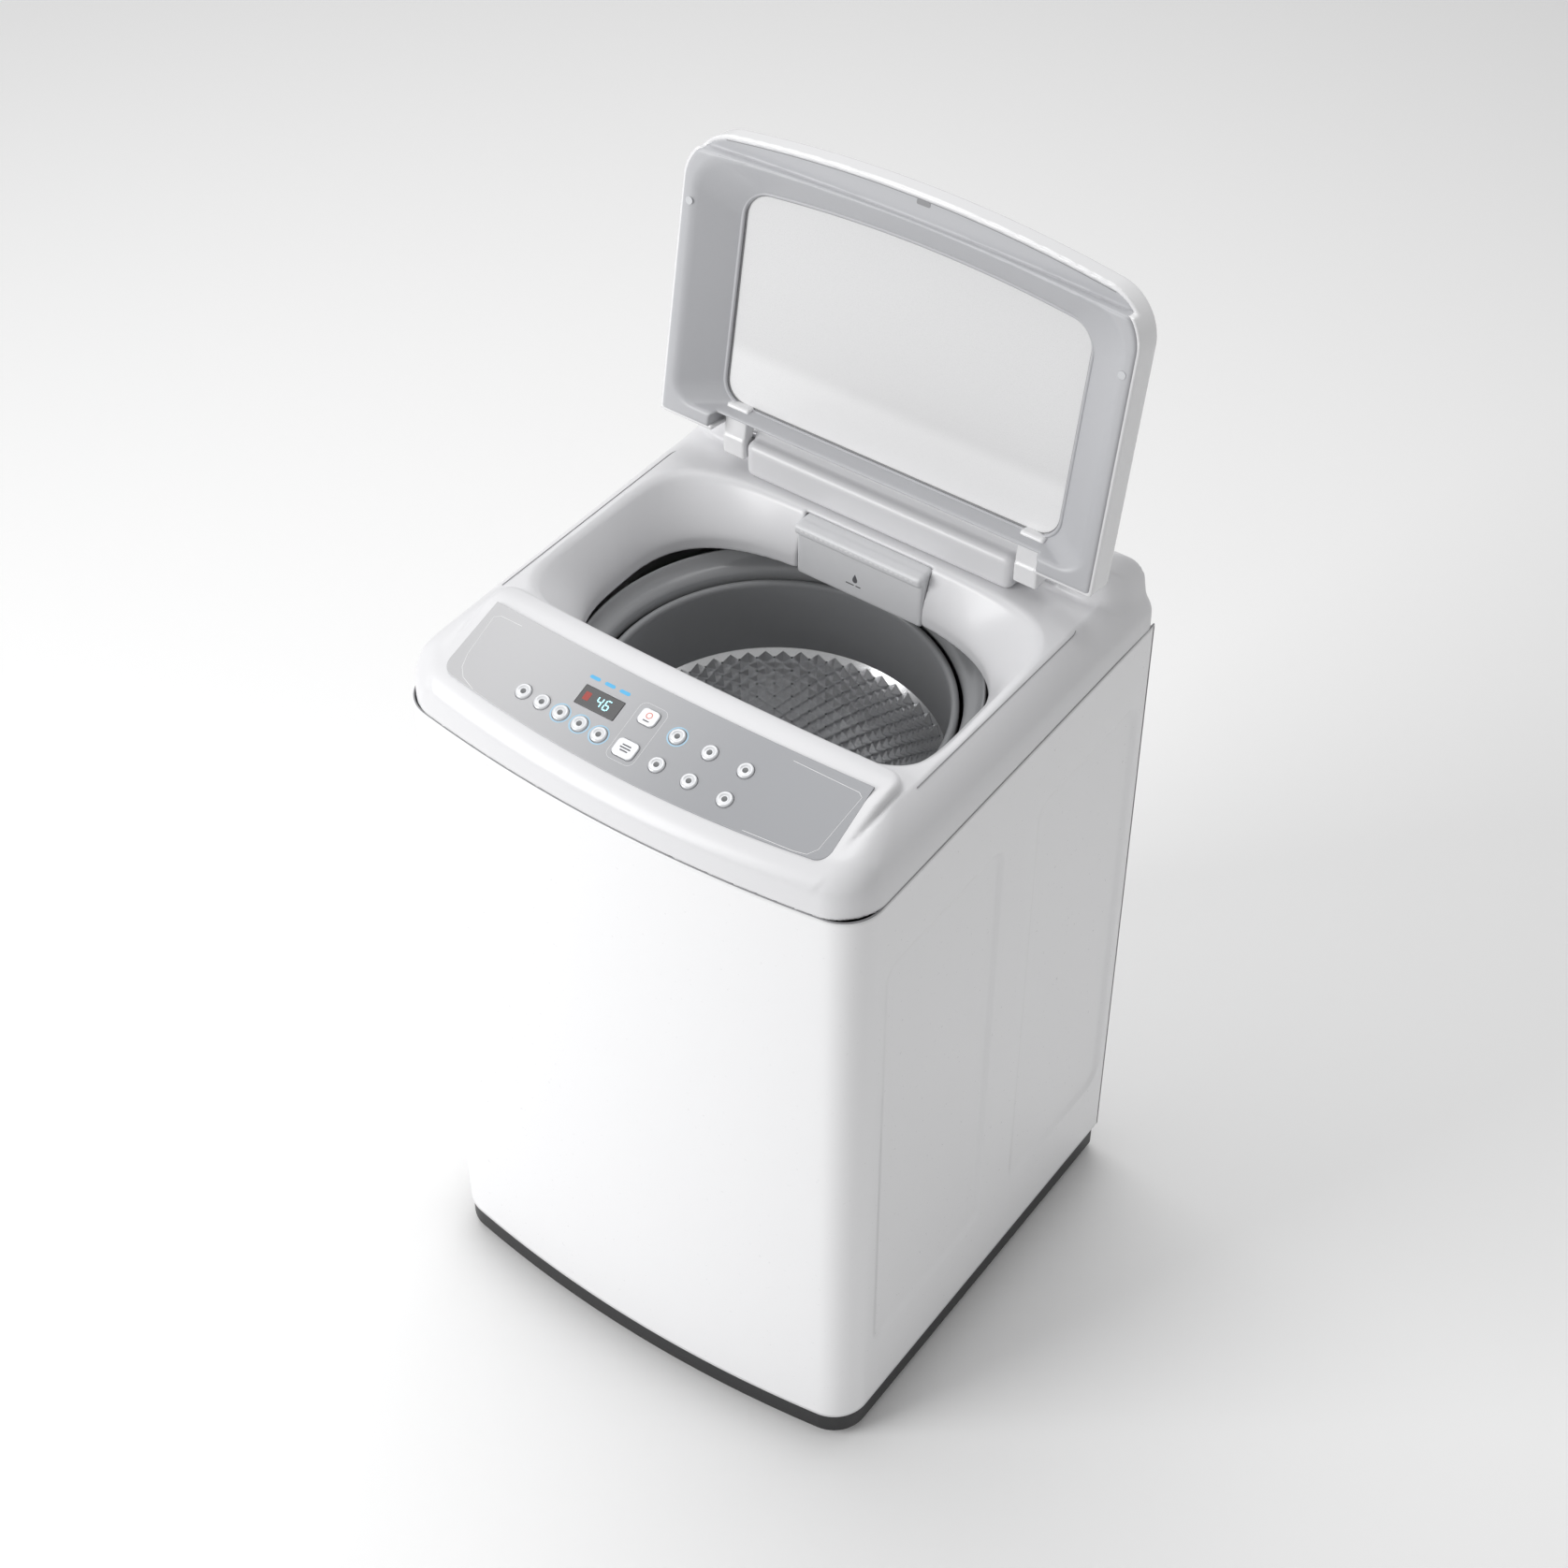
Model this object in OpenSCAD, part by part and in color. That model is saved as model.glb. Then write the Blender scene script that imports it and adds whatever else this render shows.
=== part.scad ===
// Top load washing machine, modelled as the separate pieces it is built from.
// Origin: floor level, under the middle of the cabinet. X to the right, -Y to the front, Z up.

/* [Cabinet] */
// Width of the cabinet
body_w = 540; // [500:1:660]
// Depth of the cabinet at the middle of its bowed front
body_d = 540; // [520:1:660]
// Height of the seam between the cabinet and the top cover
seam_z = 813; // [800:1:980]
// How far the middle of the front stands out from its corners
front_bow = 25; // [10:1:40]
// Radius of the front vertical corners
corner_r = 42; // [20:1:60]
// Thickness of the steel sheet
sheet_t = 1.2; // [0.8:0.1:2]
// Depth of the pressed panels in the sides
press_depth = 3; // [1:0.5:6]
// How far the back panel lies in from the rear edge
back_inset = 20; // [18:1:45]

/* [Base and feet] */
// Height of the black base above the floor, at its lower edge
base_low = 12; // [8:1:20]
// Height of the top of the base
base_top = 40; // [30:1:60]
// Radius of a foot's threaded stud
stud_r = 5; // [4:0.5:8]
// Radius of a foot's pad
pad_r = 18; // [14:1:26]
// How far a foot can be screwed out
foot_travel = 12; // [6:1:15]

/* [Top cover] */
// Wall of the plastic mouldings
wall = 3; // [2:0.5:4]
// Slope of the control panel
panel_slope = 18.6; // [10:0.1:30]
// How far the rear edge of the control panel lies behind the cabinet's front
panel_back = 120; // [112:1:150]
// Height of the rear edge of the control panel above the seam
panel_rise = 78; // [70:1:100]
// Height of the seat for the lid above the seam, at its front
seat_rise = 65; // [55:1:80]
// Tilt of the seat for the lid, lower at the back
seat_tilt = 2; // [0:0.5:4]
// Height of the rear housing above the seam
rear_rise = 105; // [98:1:120]
// Half the width of the mouth of the well
mouth_hw = 242; // [230:1:246]
// Half the width of the well's lower opening
throat_hw = 204; // [190:1:220]
// Half the depth of the well's lower opening
throat_hd = 130; // [115:1:138]

/* [Lid] */
// Height of the hinge axis above the seam
hinge_rise = 92; // [88:1:100]
// How far the hinge axis lies in front of the cabinet's rear edge
hinge_in = 81; // [75:1:100]
// How far the lid stands open at rest, measured from level
lid_open = 101; // [95:1:105]
// Half the width of the lid's window
window_hw = 197; // [150:1:205]
// Radius of the hinge pins
pin_r = 3; // [2:0.5:4]

/* [Controls] */
// Radius of a round button
button_r = 8.2; // [6:0.1:9]
// How far a button stands out of the panel
button_proud = 2.4; // [1:0.1:4]
// Travel of a button
button_travel = 1.2; // [0.5:0.1:1.5]
// Width of the display
display_w = 46; // [30:1:60]
// Height of the display
display_h = 22; // [15:1:26]
// Width of the detergent drawer
drawer_w = 152; // [100:1:200]
// Depth of the detergent drawer, front to back
drawer_d = 92; // [60:1:92]

/* [Tub and basket] */
// Inner radius of the steel basket
basket_r = 178; // [150:1:181]
// Height of the basket from its base to the top of the balance ring
basket_h = 430; // [330:1:460]
// Height of the balance ring
ring_h = 90; // [50:1:100]
// Gap between the balance ring and the tub
tub_gap = 18; // [12:1:20]
// Radius of the pulsator
pulsator_r = 150; // [110:1:155]
// Radius of the wash shaft
shaft_r = 8; // [6:0.5:10]
// Radius of the large belt pulley
pulley_r = 75; // [50:1:90]
// Radius of the motor pulley
motor_pulley_r = 20; // [14:1:26]
// Distance from the shaft to the motor
motor_off = 150; // [135:1:155]

/* [Hidden] */
$fn = 64;
bow_fn = 360;           // segments of a full circle on the wide bowed edges
slide_gap = 0.4;        // between pieces that slide past each other
run_gap = 0.05;         // radial clearance of a shaft in its bearing
seat_gap = 1.2;         // between the closed lid and its seat
fit_gap = 0.2;          // around a piece that is clipped or laid in place
eps = 0.01;

front_y = -body_d / 2;
rear_y = body_d / 2;
bow_r = (body_w * body_w / 4 + front_bow * front_bow) / (2 * front_bow);
panel_y = front_y + panel_back;
panel_z = seam_z + panel_rise;
panel_bow = 1433;       // radius of the control panel's front edge
panel_len = 104;        // length of the control panel down its slope, at the middle
panel_hw = body_w / 2 - 48;
step_y = panel_y + 8;   // the step down from the panel to the lid's seat
seat_z0 = seam_z + seat_rise;
mouth_front = panel_y + 29;
hinge_y = rear_y - hinge_in;
hinge_z = seam_z + hinge_rise;
mouth_rear = hinge_y - 22;
strip_r = 20.5;         // radius of the round cover along the hinge
strip_y = hinge_y + 1;
strip_z = hinge_z - 14;
strip_hw = 159.5;
arm_x0 = 161;
arm_x1 = 188;
rear_front_y = hinge_y + 14;    // front face of the rear housing
rear_z = seam_z + rear_rise;
funnel_z = seam_z + 46; // where the well begins to narrow
throat_z = seam_z - 1;
throat_y = mouth_front + throat_hd + 6;
collar = 9;             // length of the well's straight lower lip
lid_hw = body_w / 2 - 14;
lid_len = hinge_y - step_y - 1.6;   // from the hinge axis to the lid's front edge
lid_bow = 1500;
lid_depth = (hinge_z - seat_z(hinge_y)) * cos(seat_tilt) - seat_gap;   // from the rim to the hinge axis
lid_top = 3;            // top of the lid above the hinge axis
lid_edge = 1.5;         // step round the lid's top edge
lid_wall = 2.5;
skirt_back = 7;         // rear end of the lid's side skirts, in front of the hinge axis
notch_back = 22;        // rear end of the lid between its hinge arms
frame_gap = 0.3;        // between the lid's outer shell and its inner frame
window_low = -6;        // underside of the lid's window, from the hinge axis
window_rim = 6;         // how far the window reaches under its frame

ring_top = seam_z - 41;
ring_low = ring_top - ring_h;
ring_r = basket_r + 4;
basket_low = ring_top - basket_h;
tub_r = ring_r + tub_gap;
tub_low = basket_low - 50;
support_top = tub_low - 1;
support_t = 4;
belt_z = tub_low - 134;
motor_y = motor_off;
rod_x = body_w / 2 - 52;
rod_y = body_d / 2 - 58;
rod_r = 3;
rod_low = support_top - 90;
spring_low = rod_low + 3.2;
cup_low = support_top - support_t - 16;
tube_r = shaft_r + 6;
bearing_r = tube_r + 12;
foot_x = body_w / 2 - 62;
foot_y = body_d / 2 - 66;
back_y = rear_y - back_inset;
flange_y = rear_y - 5;   // rear face of the cabinet's rear flanges
inlet_x = body_w / 2 - 90;
inlet_z = seam_z + 45;
valve_x = -150;         // the drain valve, and the outlet behind it
valve_y = 60;
drain_z = base_top + 55;
drain_bend = 40;        // radius of the drain hose's bend
gland_x = body_w / 2 - 70;
gland_z = base_top + 90;
front_press = [front_y + 72, front_y + 272];    // where each side's two pressed panels begin and end
rear_press = [65, rear_y - 15];
press_low = base_top + 98;
press_high = seam_z - 93;
screw_r = 2;            // screws of the back panel
screw_x = body_w / 2 - 14.5;
screw_low = base_top + 40;
screw_high = seam_z - 40;
screw_pitch = 160;
neck_r = 34;            // neck of the gearbox that passes through the tub's bottom
hole_pitch = 45;        // between rows of holes in the basket

// Names, sizes and places of the buttons on the panel: x, distance down the slope, half width, half height
round_ys = [70.5, 71.8, 73, 74.3, 75.3];
option_x = [-134, -111, -88, -64.5, -41];
program_x = [27, 64, 104.5];
program_s = [42, 76];
power_key = [-9, 38, 10, 8.5];
start_key = [-9, 76, 12, 9.5];
display_x = -61;
display_s = 46;

function slope_z(y) = panel_z + tan(panel_slope) * (y - panel_y);
function seat_z(y) = seat_z0 - tan(seat_tilt) * (y - step_y);

// A flat shape with a bowed front edge, rounded front corners and smaller rear corners.
// hw is half its width, front and back are the ends of its middle line, r is the bow's radius.
module bowed(hw, front, back, r, rc, rr) {
    cx = hw - rc;
    cy = front + r - sqrt(pow(r - rc, 2) - cx * cx);
    tx = cx * r / (r - rc);
    intersection() {
        translate([0, front + r]) circle(r, $fn = bow_fn);
        translate([-tx, front - 1]) square([2 * tx, back - rr - front + 1]);
    }
    translate([-hw, cy]) square([2 * hw, back - rr - cy]);
    translate([-hw + rr, back - rr - eps]) square([2 * (hw - rr), rr + eps]);
    for (s = [-1, 1]) {
        translate([s * cx, cy]) circle(rc);
        translate([s * (hw - rr), back - rr]) circle(rr);
    }
}

module body_outline(inset = 0) {
    bowed(body_w / 2 - inset, front_y + inset, rear_y - inset, bow_r - inset, corner_r - inset, 12 - inset);
}

// A rectangle with round corners, from its middle
module round_rect(hw, hd, r) {
    square([2 * (hw - r), 2 * hd], center = true);
    square([2 * hw, 2 * (hd - r)], center = true);
    for (x = [-1, 1]) for (y = [-1, 1]) translate([x * (hw - r), y * (hd - r)]) circle(r);
}

module both_sides() {
    children();
    mirror([1, 0, 0]) children();
}

// Along the back panel's two edges, with Z pointing to the rear
module at_screws() {
    both_sides() for (z = [screw_low : screw_pitch : screw_high])
        translate([screw_x, flange_y, z]) rotate([-90, 0, 0]) children();
}

// ---------------------------------------------------------------- cabinet

// Two pressed panels in one side, as boxes that reach inwards from the sheet
module side_presses(inset, depth) {
    for (y = [front_press, rear_press])
        translate([body_w / 2 - depth, y[0] + inset, press_low + inset])
            cube([depth + 1, y[1] - y[0] - 2 * inset, press_high - press_low - 2 * inset]);
}

module rod_bracket() {
    translate([rod_x - 16, rod_y - 16, seam_z - 26]) difference() {
        cube([body_w / 2 - sheet_t - rod_x + 16, 32, 3]);
        translate([16, 16, -1]) cylinder(r = rod_r + 1, h = 5);
    }
}

module cabinet() color("white") difference() {
    union() {
        translate([0, 0, base_top]) linear_extrude(seam_z - base_top) {
            difference() {
                body_outline();
                body_outline(sheet_t);
                translate([-body_w / 2 + 10, rear_y - 12]) square([body_w - 20, 20]);
            }
            for (s = [-1, 1]) translate([s * (body_w / 2 - 9) - 9, flange_y - sheet_t]) square([18, sheet_t]);
        }
        both_sides() {
            intersection() {
                side_presses(-sheet_t, press_depth + sheet_t);
                translate([0, front_y, 0]) cube([body_w / 2, body_d, seam_z]);
            }
            for (s = [-1, 1]) scale([1, s, 1]) rod_bracket();
        }
    }
    both_sides() side_presses(0, press_depth);
    at_screws() translate([0, 0, -10]) cylinder(r = screw_r + fit_gap, h = 20);
}

// A pan whose rim lies on the cabinet's rear flanges
module back_panel() color("gainsboro") difference() {
    hw = body_w / 2 - 20;
    translate([0, 0, base_top + 1]) linear_extrude(seam_z - base_top - 2) {
        translate([-hw, back_y - sheet_t]) square([2 * hw, sheet_t]);
        for (s = [-1, 1]) {
            translate([s * (hw - sheet_t / 2) - sheet_t / 2, back_y - sheet_t])
                square([sheet_t, flange_y + 2 * sheet_t - back_y]);
            translate([s * (hw + 7) - 7 - sheet_t / 2, flange_y + fit_gap / 2])
                square([14 + sheet_t / 2, sheet_t]);
        }
    }
    at_screws() translate([0, 0, -10]) cylinder(r = screw_r + fit_gap, h = 20);
}

module base_frame() color("black") difference() {
    union() {
        translate([0, 0, base_low]) linear_extrude(base_top - base_low) difference() {
            body_outline(2);
            body_outline(2 + wall);
        }
        translate([0, 0, base_top - 5]) linear_extrude(5) difference() {
            body_outline(2);
            round_rect(body_w / 2 - 95, body_d / 2 - 95, 60);
        }
        for (x = [-1, 1]) for (y = [-1, 1]) translate([x * foot_x, y * foot_y, base_low])
            cylinder(r = 15, h = base_top - base_low);
    }
    for (x = [-1, 1]) for (y = [-1, 1]) translate([x * foot_x, y * foot_y, 0])
        cylinder(r = stud_r + run_gap, h = base_top + 1);
}

// A screw-in foot: a rubber pad round a flanged nut on a threaded stud
module foot(x, y) color("dimgray") translate([x * foot_x, y * foot_y, 0]) {
    rotate_extrude() polygon([[0, 0], [pad_r - 2, 0], [pad_r, 2], [pad_r - 1, 6], [pad_r - 6, base_low - 4],
        [0, base_low - 4]]);
    translate([0, 0, base_low - 4]) cylinder(r = 9, h = 4 - slide_gap, $fn = 6);
    translate([0, 0, base_low - slide_gap]) cylinder(r = stud_r, h = base_top - base_low + 14);
}

module foot_front_left() foot(-1, -1);
module foot_front_right() foot(1, -1);
module foot_rear_left() foot(-1, 1);
module foot_rear_right() foot(1, 1);

// ---------------------------------------------------------------- top cover

// The cover's outside, or its inside when t is the wall
module cover_block(t) {
    low = seam_z - (t > 0 ? 5 : 0);
    sy = front_y + 20;
    wide = body_w / 2;
    intersection() {
        translate([0, 0, low]) linear_extrude(rear_rise + 20) body_outline(t);
        translate([-wide - 10, 0, 0]) rotate([90, 0, 90]) linear_extrude(body_w + 20) polygon([
            [front_y - 10, low - 1], [front_y - 10, slope_z(front_y) - 16 - t],
            [front_y + t, slope_z(front_y) - 15 - t], [front_y + 3 + t, slope_z(front_y) - 8 - t],
            [front_y + 9 + t, slope_z(front_y) - 2 - t], [sy, slope_z(sy) - t],
            [panel_y, panel_z - t], [step_y - t, panel_z - 1 - t], [step_y - t, seat_z(step_y) - t],
            [rear_front_y + t, seat_z(rear_front_y) - t], [rear_front_y + t, rear_z - 3 - t],
            [rear_front_y + 4 + t, rear_z - t], [rear_y - 26, rear_z - t], [rear_y - 12 - t, rear_z - 5 - t],
            [rear_y - 3 - t, rear_z - 18 - t], [rear_y - t, rear_z - 40], [rear_y + 10, rear_z - 40],
            [rear_y + 10, low - 1]]);
        translate([0, rear_y + 10, 0]) rotate([90, 0, 0]) linear_extrude(body_d + 20) polygon(concat(
            [for (p = shoulder()) [p[0] - t, p[1] - t]],
            [for (i = [len(shoulder()) - 1 : -1 : 0]) [t - shoulder()[i][0], shoulder()[i][1] - t]]));
    }
}

// Right half of the cover's section across the machine, from the seam up
function shoulder() = [[body_w / 2, seam_z - 10], [body_w / 2, seam_z + 27], [body_w / 2 - 4, seam_z + 47],
    [body_w / 2 - 8, seam_z + 59], [body_w / 2 - 14, seam_z + 77], [body_w / 2 - 25, seam_z + 89],
    [body_w / 2 - 42, rear_z - 6], [body_w / 2 - 65, rear_z]];

module mouth(grow, r = 30) {
    translate([0, (mouth_front + mouth_rear) / 2])
        round_rect(mouth_hw + grow, (mouth_rear - mouth_front) / 2 + grow, r + grow);
}

module throat(grow) {
    translate([0, throat_y]) round_rect(throat_hw + grow, throat_hd + grow, throat_hd - 22 + grow);
}

// The well's space, grown outwards by the wall for its outside
module well(grow) {
    translate([0, 0, funnel_z - eps]) linear_extrude(rear_rise) mouth(grow);
    hull() {
        translate([0, 0, funnel_z - 1]) linear_extrude(1) mouth(grow, $fn = 32);
        translate([0, 0, throat_z]) linear_extrude(0.5) throat(grow, $fn = 32);
    }
    translate([0, 0, throat_z - collar]) linear_extrude(collar + 0.3) throat(grow);
}

drawer_front = throat_y + throat_hd - 2;
drawer_low = seam_z - 15;
drawer_high = seam_z + 50;

module drawer_box(grow, front, back) {
    translate([-drawer_w / 2 - grow, front, drawer_low - grow])
        cube([drawer_w + 2 * grow, back - front, drawer_high - drawer_low + 2 * grow]);
}

// Places children on the control panel: X along it, -Y down its slope, Z out of it
module on_panel() {
    translate([0, panel_y, panel_z]) rotate([panel_slope, 0, 0]) children();
}

module panel_shape(grow) {
    difference() {
        bowed(panel_hw + grow, -panel_len - grow, grow, panel_bow, 15, 3);
        translate([0, 4480 - 5.5 + grow]) circle(4480, $fn = 4 * bow_fn);
    }
}

module button_holes(grow) {
    for (i = [0 : 4]) translate([option_x[i], -round_ys[i]]) circle(button_r + grow);
    for (x = program_x) for (s = program_s) translate([x, -s]) circle(button_r + grow);
    for (k = [power_key, start_key]) translate([k[0], -k[1]]) round_rect(k[2] + grow, k[3] + grow, 5 + grow);
}

module display_hole(grow) {
    translate([display_x, -display_s]) square([display_w + 2 * grow, display_h + 2 * grow], center = true);
}

module inlet_pocket(r) {
    translate([inlet_x, rear_y - 28, inlet_z]) rotate([-90, 0, 0]) cylinder(r = r, h = 40);
}

module top_cover() color("whitesmoke") difference() {
    union() {
        difference() {
            cover_block(0);
            cover_block(wall);
        }
        intersection() {
            well(wall);
            union() {
                cover_block(0);
                translate([-body_w / 2, front_y, seam_z - 30]) cube([body_w, body_d, 31]);
            }
        }
        drawer_box(wall, drawer_front + 8, drawer_front + drawer_d + 12);
        intersection() {
            inlet_pocket(26);
            cover_block(0);
        }
    }
    well(0);
    drawer_box(slide_gap, drawer_front - 40, drawer_front + drawer_d + 9);
    inlet_pocket(24);
    translate([inlet_x, rear_y - 40, inlet_z]) rotate([-90, 0, 0]) cylinder(r = 13.4, h = 20);
    for (s = [-1, 1]) translate([s * (arm_x0 + arm_x1) / 2 - 15.5, hinge_y, hinge_z - 28]) cube([31, 25, 50]);
    on_panel() {
        translate([0, 0, -2]) linear_extrude(10) panel_shape(fit_gap);
        translate([0, 0, -12]) linear_extrude(12) button_holes(slide_gap);
        translate([0, 0, -12]) linear_extrude(12) display_hole(-1.5);
    }
}

// The round cover between the lid's hinge arms, which carries the pins in its ends
module hinge_cover() color("white") difference() {
    union() {
        translate([-strip_hw, strip_y, strip_z]) rotate([0, 90, 0]) cylinder(r = strip_r, h = 2 * strip_hw);
        translate([-strip_hw, strip_y - 12, seat_z(strip_y - 12)])
            cube([2 * strip_hw, 24, strip_z - seat_z(strip_y - 12)]);
    }
    translate([-strip_hw + 14, strip_y, strip_z]) rotate([0, 90, 0])
        cylinder(r = strip_r - wall, h = 2 * strip_hw - 28);
    translate([-strip_hw - 1, rear_front_y - fit_gap, strip_z - 40]) cube([2 * strip_hw + 2, 40, 80]);
    both_sides() translate([strip_hw - 12, hinge_y, hinge_z]) rotate([0, 90, 0]) cylinder(r = pin_r, h = 20);
}

module hinge_pins() color("silver") both_sides() translate([strip_hw - 12, hinge_y, hinge_z])
    rotate([0, 90, 0]) cylinder(r = pin_r, h = arm_x1 - strip_hw + 12);

// ---------------------------------------------------------------- lid

// The lid is drawn level about the hinge axis, with its front towards -Y, then swung open
module on_lid() {
    translate([0, hinge_y, hinge_z]) rotate([-lid_open, 0, 0]) children();
}

module lid_shape(inset) {
    difference() {
        bowed(lid_hw - inset, -lid_len + inset, -skirt_back - inset, lid_bow, 45 - inset, 4);
        translate([-arm_x1 - 3 - inset, -notch_back - inset])
            square([2 * (arm_x1 + 3 + inset), notch_back + 5]);
    }
}

// The window's outline, grown outwards
module window_shape(grow) {
    bowed(window_hw + grow, -lid_len + 58 - grow, -32 + grow, lid_bow - 40, 28 + grow, 24 + grow);
}

module lid_outer() color("white") on_lid() difference() {
    union() {
        translate([0, 0, -lid_depth + 2]) linear_extrude(lid_depth + lid_top - 2 - lid_edge) lid_shape(0);
        translate([0, 0, lid_top - lid_edge - eps]) linear_extrude(lid_edge + eps) lid_shape(lid_edge);
    }
    translate([0, 0, -lid_depth]) linear_extrude(lid_depth + lid_top - lid_wall) lid_shape(lid_wall);
    translate([0, 0, -10]) linear_extrude(lid_top + 20) window_shape(-4);
    both_sides() translate([arm_x0 - fit_gap, -notch_back - lid_wall - 1, -lid_depth])
        cube([arm_x1 - arm_x0 + 2 * fit_gap, lid_wall + 2, lid_depth + fit_gap]);
}

// An arm of the lid's inner frame, round the hinge pin
module hinge_arm() {
    translate([arm_x0, 0, 0]) rotate([90, 0, 90]) linear_extrude(arm_x1 - arm_x0) difference() {
        union() {
            translate([-notch_back - 6, -16]) square([notch_back + 6, 16 + window_low - fit_gap]);
            translate([-notch_back - lid_wall - 1, -16]) square([notch_back + lid_wall + 1, 16]);
            circle(9);
            translate([0, -16]) square([12, 16]);
            translate([12, -8]) circle(8);
        }
        circle(pin_r + run_gap);
    }
}

module dish(grow) {
    hull() {
        translate([0, 0, -lid_depth - 1]) linear_extrude(1) intersection() {
            bowed(lid_hw - 28 + grow, -lid_len + 22 - grow, -26 + grow, lid_bow, 34 + grow, 8, $fn = 32);
            translate([-300, -500]) square([600, 500]);
        }
        translate([0, 0, -8]) linear_extrude(1) window_shape(grow, $fn = 32);
    }
}

module lid_inner_frame() color("gainsboro") on_lid() {
    difference() {
        translate([0, 0, -lid_depth]) linear_extrude(lid_depth - 1) lid_shape(lid_wall + frame_gap);
        dish(0);
        translate([0, 0, -9]) linear_extrude(10) window_shape(0);
        translate([0, 0, window_low]) linear_extrude(10) window_shape(window_rim + fit_gap);
        // hollow above the moulding's skin
        difference() {
            translate([0, 0, -lid_depth + lid_wall]) linear_extrude(lid_depth)
                lid_shape(2 * lid_wall + frame_gap);
            dish(lid_wall);
            translate([0, 0, -9 - lid_wall]) linear_extrude(20) window_shape(window_rim + lid_wall);
            both_sides() translate([arm_x0, -notch_back - 12, -20]) cube([arm_x1 - arm_x0, 20, 40]);
        }
        // the rear rim is shallower than the sides, to clear the drawer
        translate([-arm_x1 - 2, -34, -lid_depth - 1]) cube([2 * arm_x1 + 4, 40, 9]);
    }
    both_sides() hinge_arm();
}

module lid_window() color([0.85, 0.86, 0.88]) on_lid()
    translate([0, 0, window_low]) linear_extrude(3.5) window_shape(window_rim);

module lid_bumpers() color("lightgray") on_lid() both_sides() translate([lid_hw - 12, -240, -lid_depth - 0.7])
    cylinder(r = 4, h = 0.7);

// ---------------------------------------------------------------- control panel

module control_panel() color("silver") on_panel() translate([0, 0, -2]) linear_extrude(2) difference() {
    panel_shape(0);
    button_holes(slide_gap);
    display_hole(fit_gap);
}

module display_window() color("black") on_panel() translate([0, 0, -2]) linear_extrude(2.2) display_hole(0);

under = -2 - wall;      // underside of the cover, below the panel's face
cap_low = under - 1.6;
board_z = cap_low - 6;

// One button: a cap through the panel, a wider foot below it and a stem to its switch
module button(x, s, key = []) color("white") on_panel() translate([x, -s, 0]) {
    if (len(key) == 0) difference() {
        union() {
            translate([0, 0, cap_low]) cylinder(r = button_r, h = button_proud - 1 - cap_low);
            translate([0, 0, button_proud - 1]) cylinder(r1 = button_r, r2 = button_r - 1.4, h = 1);
        }
        translate([0, 0, button_proud + 6.6]) sphere(r = 7.4);
    }
    else {
        translate([0, 0, cap_low]) linear_extrude(button_proud - 1 - cap_low) round_rect(key[2], key[3], 5);
        translate([0, 0, button_proud - 1 - eps]) linear_extrude(0.6) round_rect(key[2] - 0.7, key[3] - 0.7, 4.3);
    }
    w = len(key) == 0 ? button_r : key[2];
    translate([-w - 1.4, -2.5, cap_low]) cube([2 * w + 2.8, 5, 1.2]);
    translate([0, 0, board_z + 4.9]) cylinder(r = 2, h = cap_low - board_z - 4.8);
}

module button_option_1() button(option_x[0], round_ys[0]);
module button_option_2() button(option_x[1], round_ys[1]);
module button_option_3() button(option_x[2], round_ys[2]);
module button_option_4() button(option_x[3], round_ys[3]);
module button_option_5() button(option_x[4], round_ys[4]);
module button_power() button(power_key[0], power_key[1], power_key);
module button_start() button(start_key[0], start_key[1], start_key);
module button_program_1() button(program_x[0], program_s[0]);
module button_program_2() button(program_x[1], program_s[0]);
module button_program_3() button(program_x[2], program_s[0]);
module button_program_4() button(program_x[0], program_s[1]);
module button_program_5() button(program_x[1], program_s[1]);
module button_program_6() button(program_x[2], program_s[1]);

module tact_switch(x, s) translate([x, -s, board_z]) {
    translate([-3, -3, 0]) cube([6, 6, 2.4]);
    cylinder(r = 1.7, h = 3.2);
}

module control_board() color("green") on_panel() {
    translate([option_x[0] - 21, -92, board_z - 1.6]) cube([program_x[2] - option_x[0] + 41.5, 66, 1.6]);
    for (i = [0 : 4]) tact_switch(option_x[i], round_ys[i]);
    for (x = program_x) for (s = program_s) tact_switch(x, s);
    tact_switch(power_key[0], power_key[1]);
    tact_switch(start_key[0], start_key[1]);
    translate([display_x - display_w / 2 + 2, -display_s - display_h / 2 + 2, board_z])
        cube([display_w - 4, display_h - 4, -board_z - 2.4]);
    for (x = [-140, 20, 112]) translate([x, -34, board_z - 14]) cylinder(r = 6, h = 13);
}

// ---------------------------------------------------------------- fittings

module detergent_drawer() color("lightgray") difference() {
    union() {
        drawer_box(0, drawer_front, drawer_front + drawer_d);
        translate([-drawer_w / 2, drawer_front - 5, drawer_high - 9]) cube([drawer_w, 5, 9]);
    }
    translate([-drawer_w / 2 + 2.5, drawer_front + 2.5, drawer_low + 2.5])
        cube([drawer_w / 2 - 4, drawer_d - 5, drawer_high - drawer_low]);
    translate([1.5, drawer_front + 2.5, drawer_low + 2.5])
        cube([drawer_w / 2 - 4, drawer_d - 5, drawer_high - drawer_low]);
}

module lid_switch() color("dimgray") translate([42 - body_w / 2, rear_front_y + wall + 1, seam_z + 58]) {
    cube([26, 16, 26]);
    translate([6, 4, 26]) cube([5, 8, 4]);
    translate([15, 4, 26]) cube([5, 8, 4]);
}

module pressure_switch() color("ivory") translate([-body_w / 2 + 70, rear_front_y + 32, seam_z + 8]) {
    cylinder(r = 25, h = 14);
    translate([0, 0, 14]) cylinder(r = 18, h = 8);
    translate([0, 0, -12]) difference() {
        cylinder(r = 4, h = 12);
        translate([0, 0, -1]) cylinder(r = 2.5, h = 8);
    }
}

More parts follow.
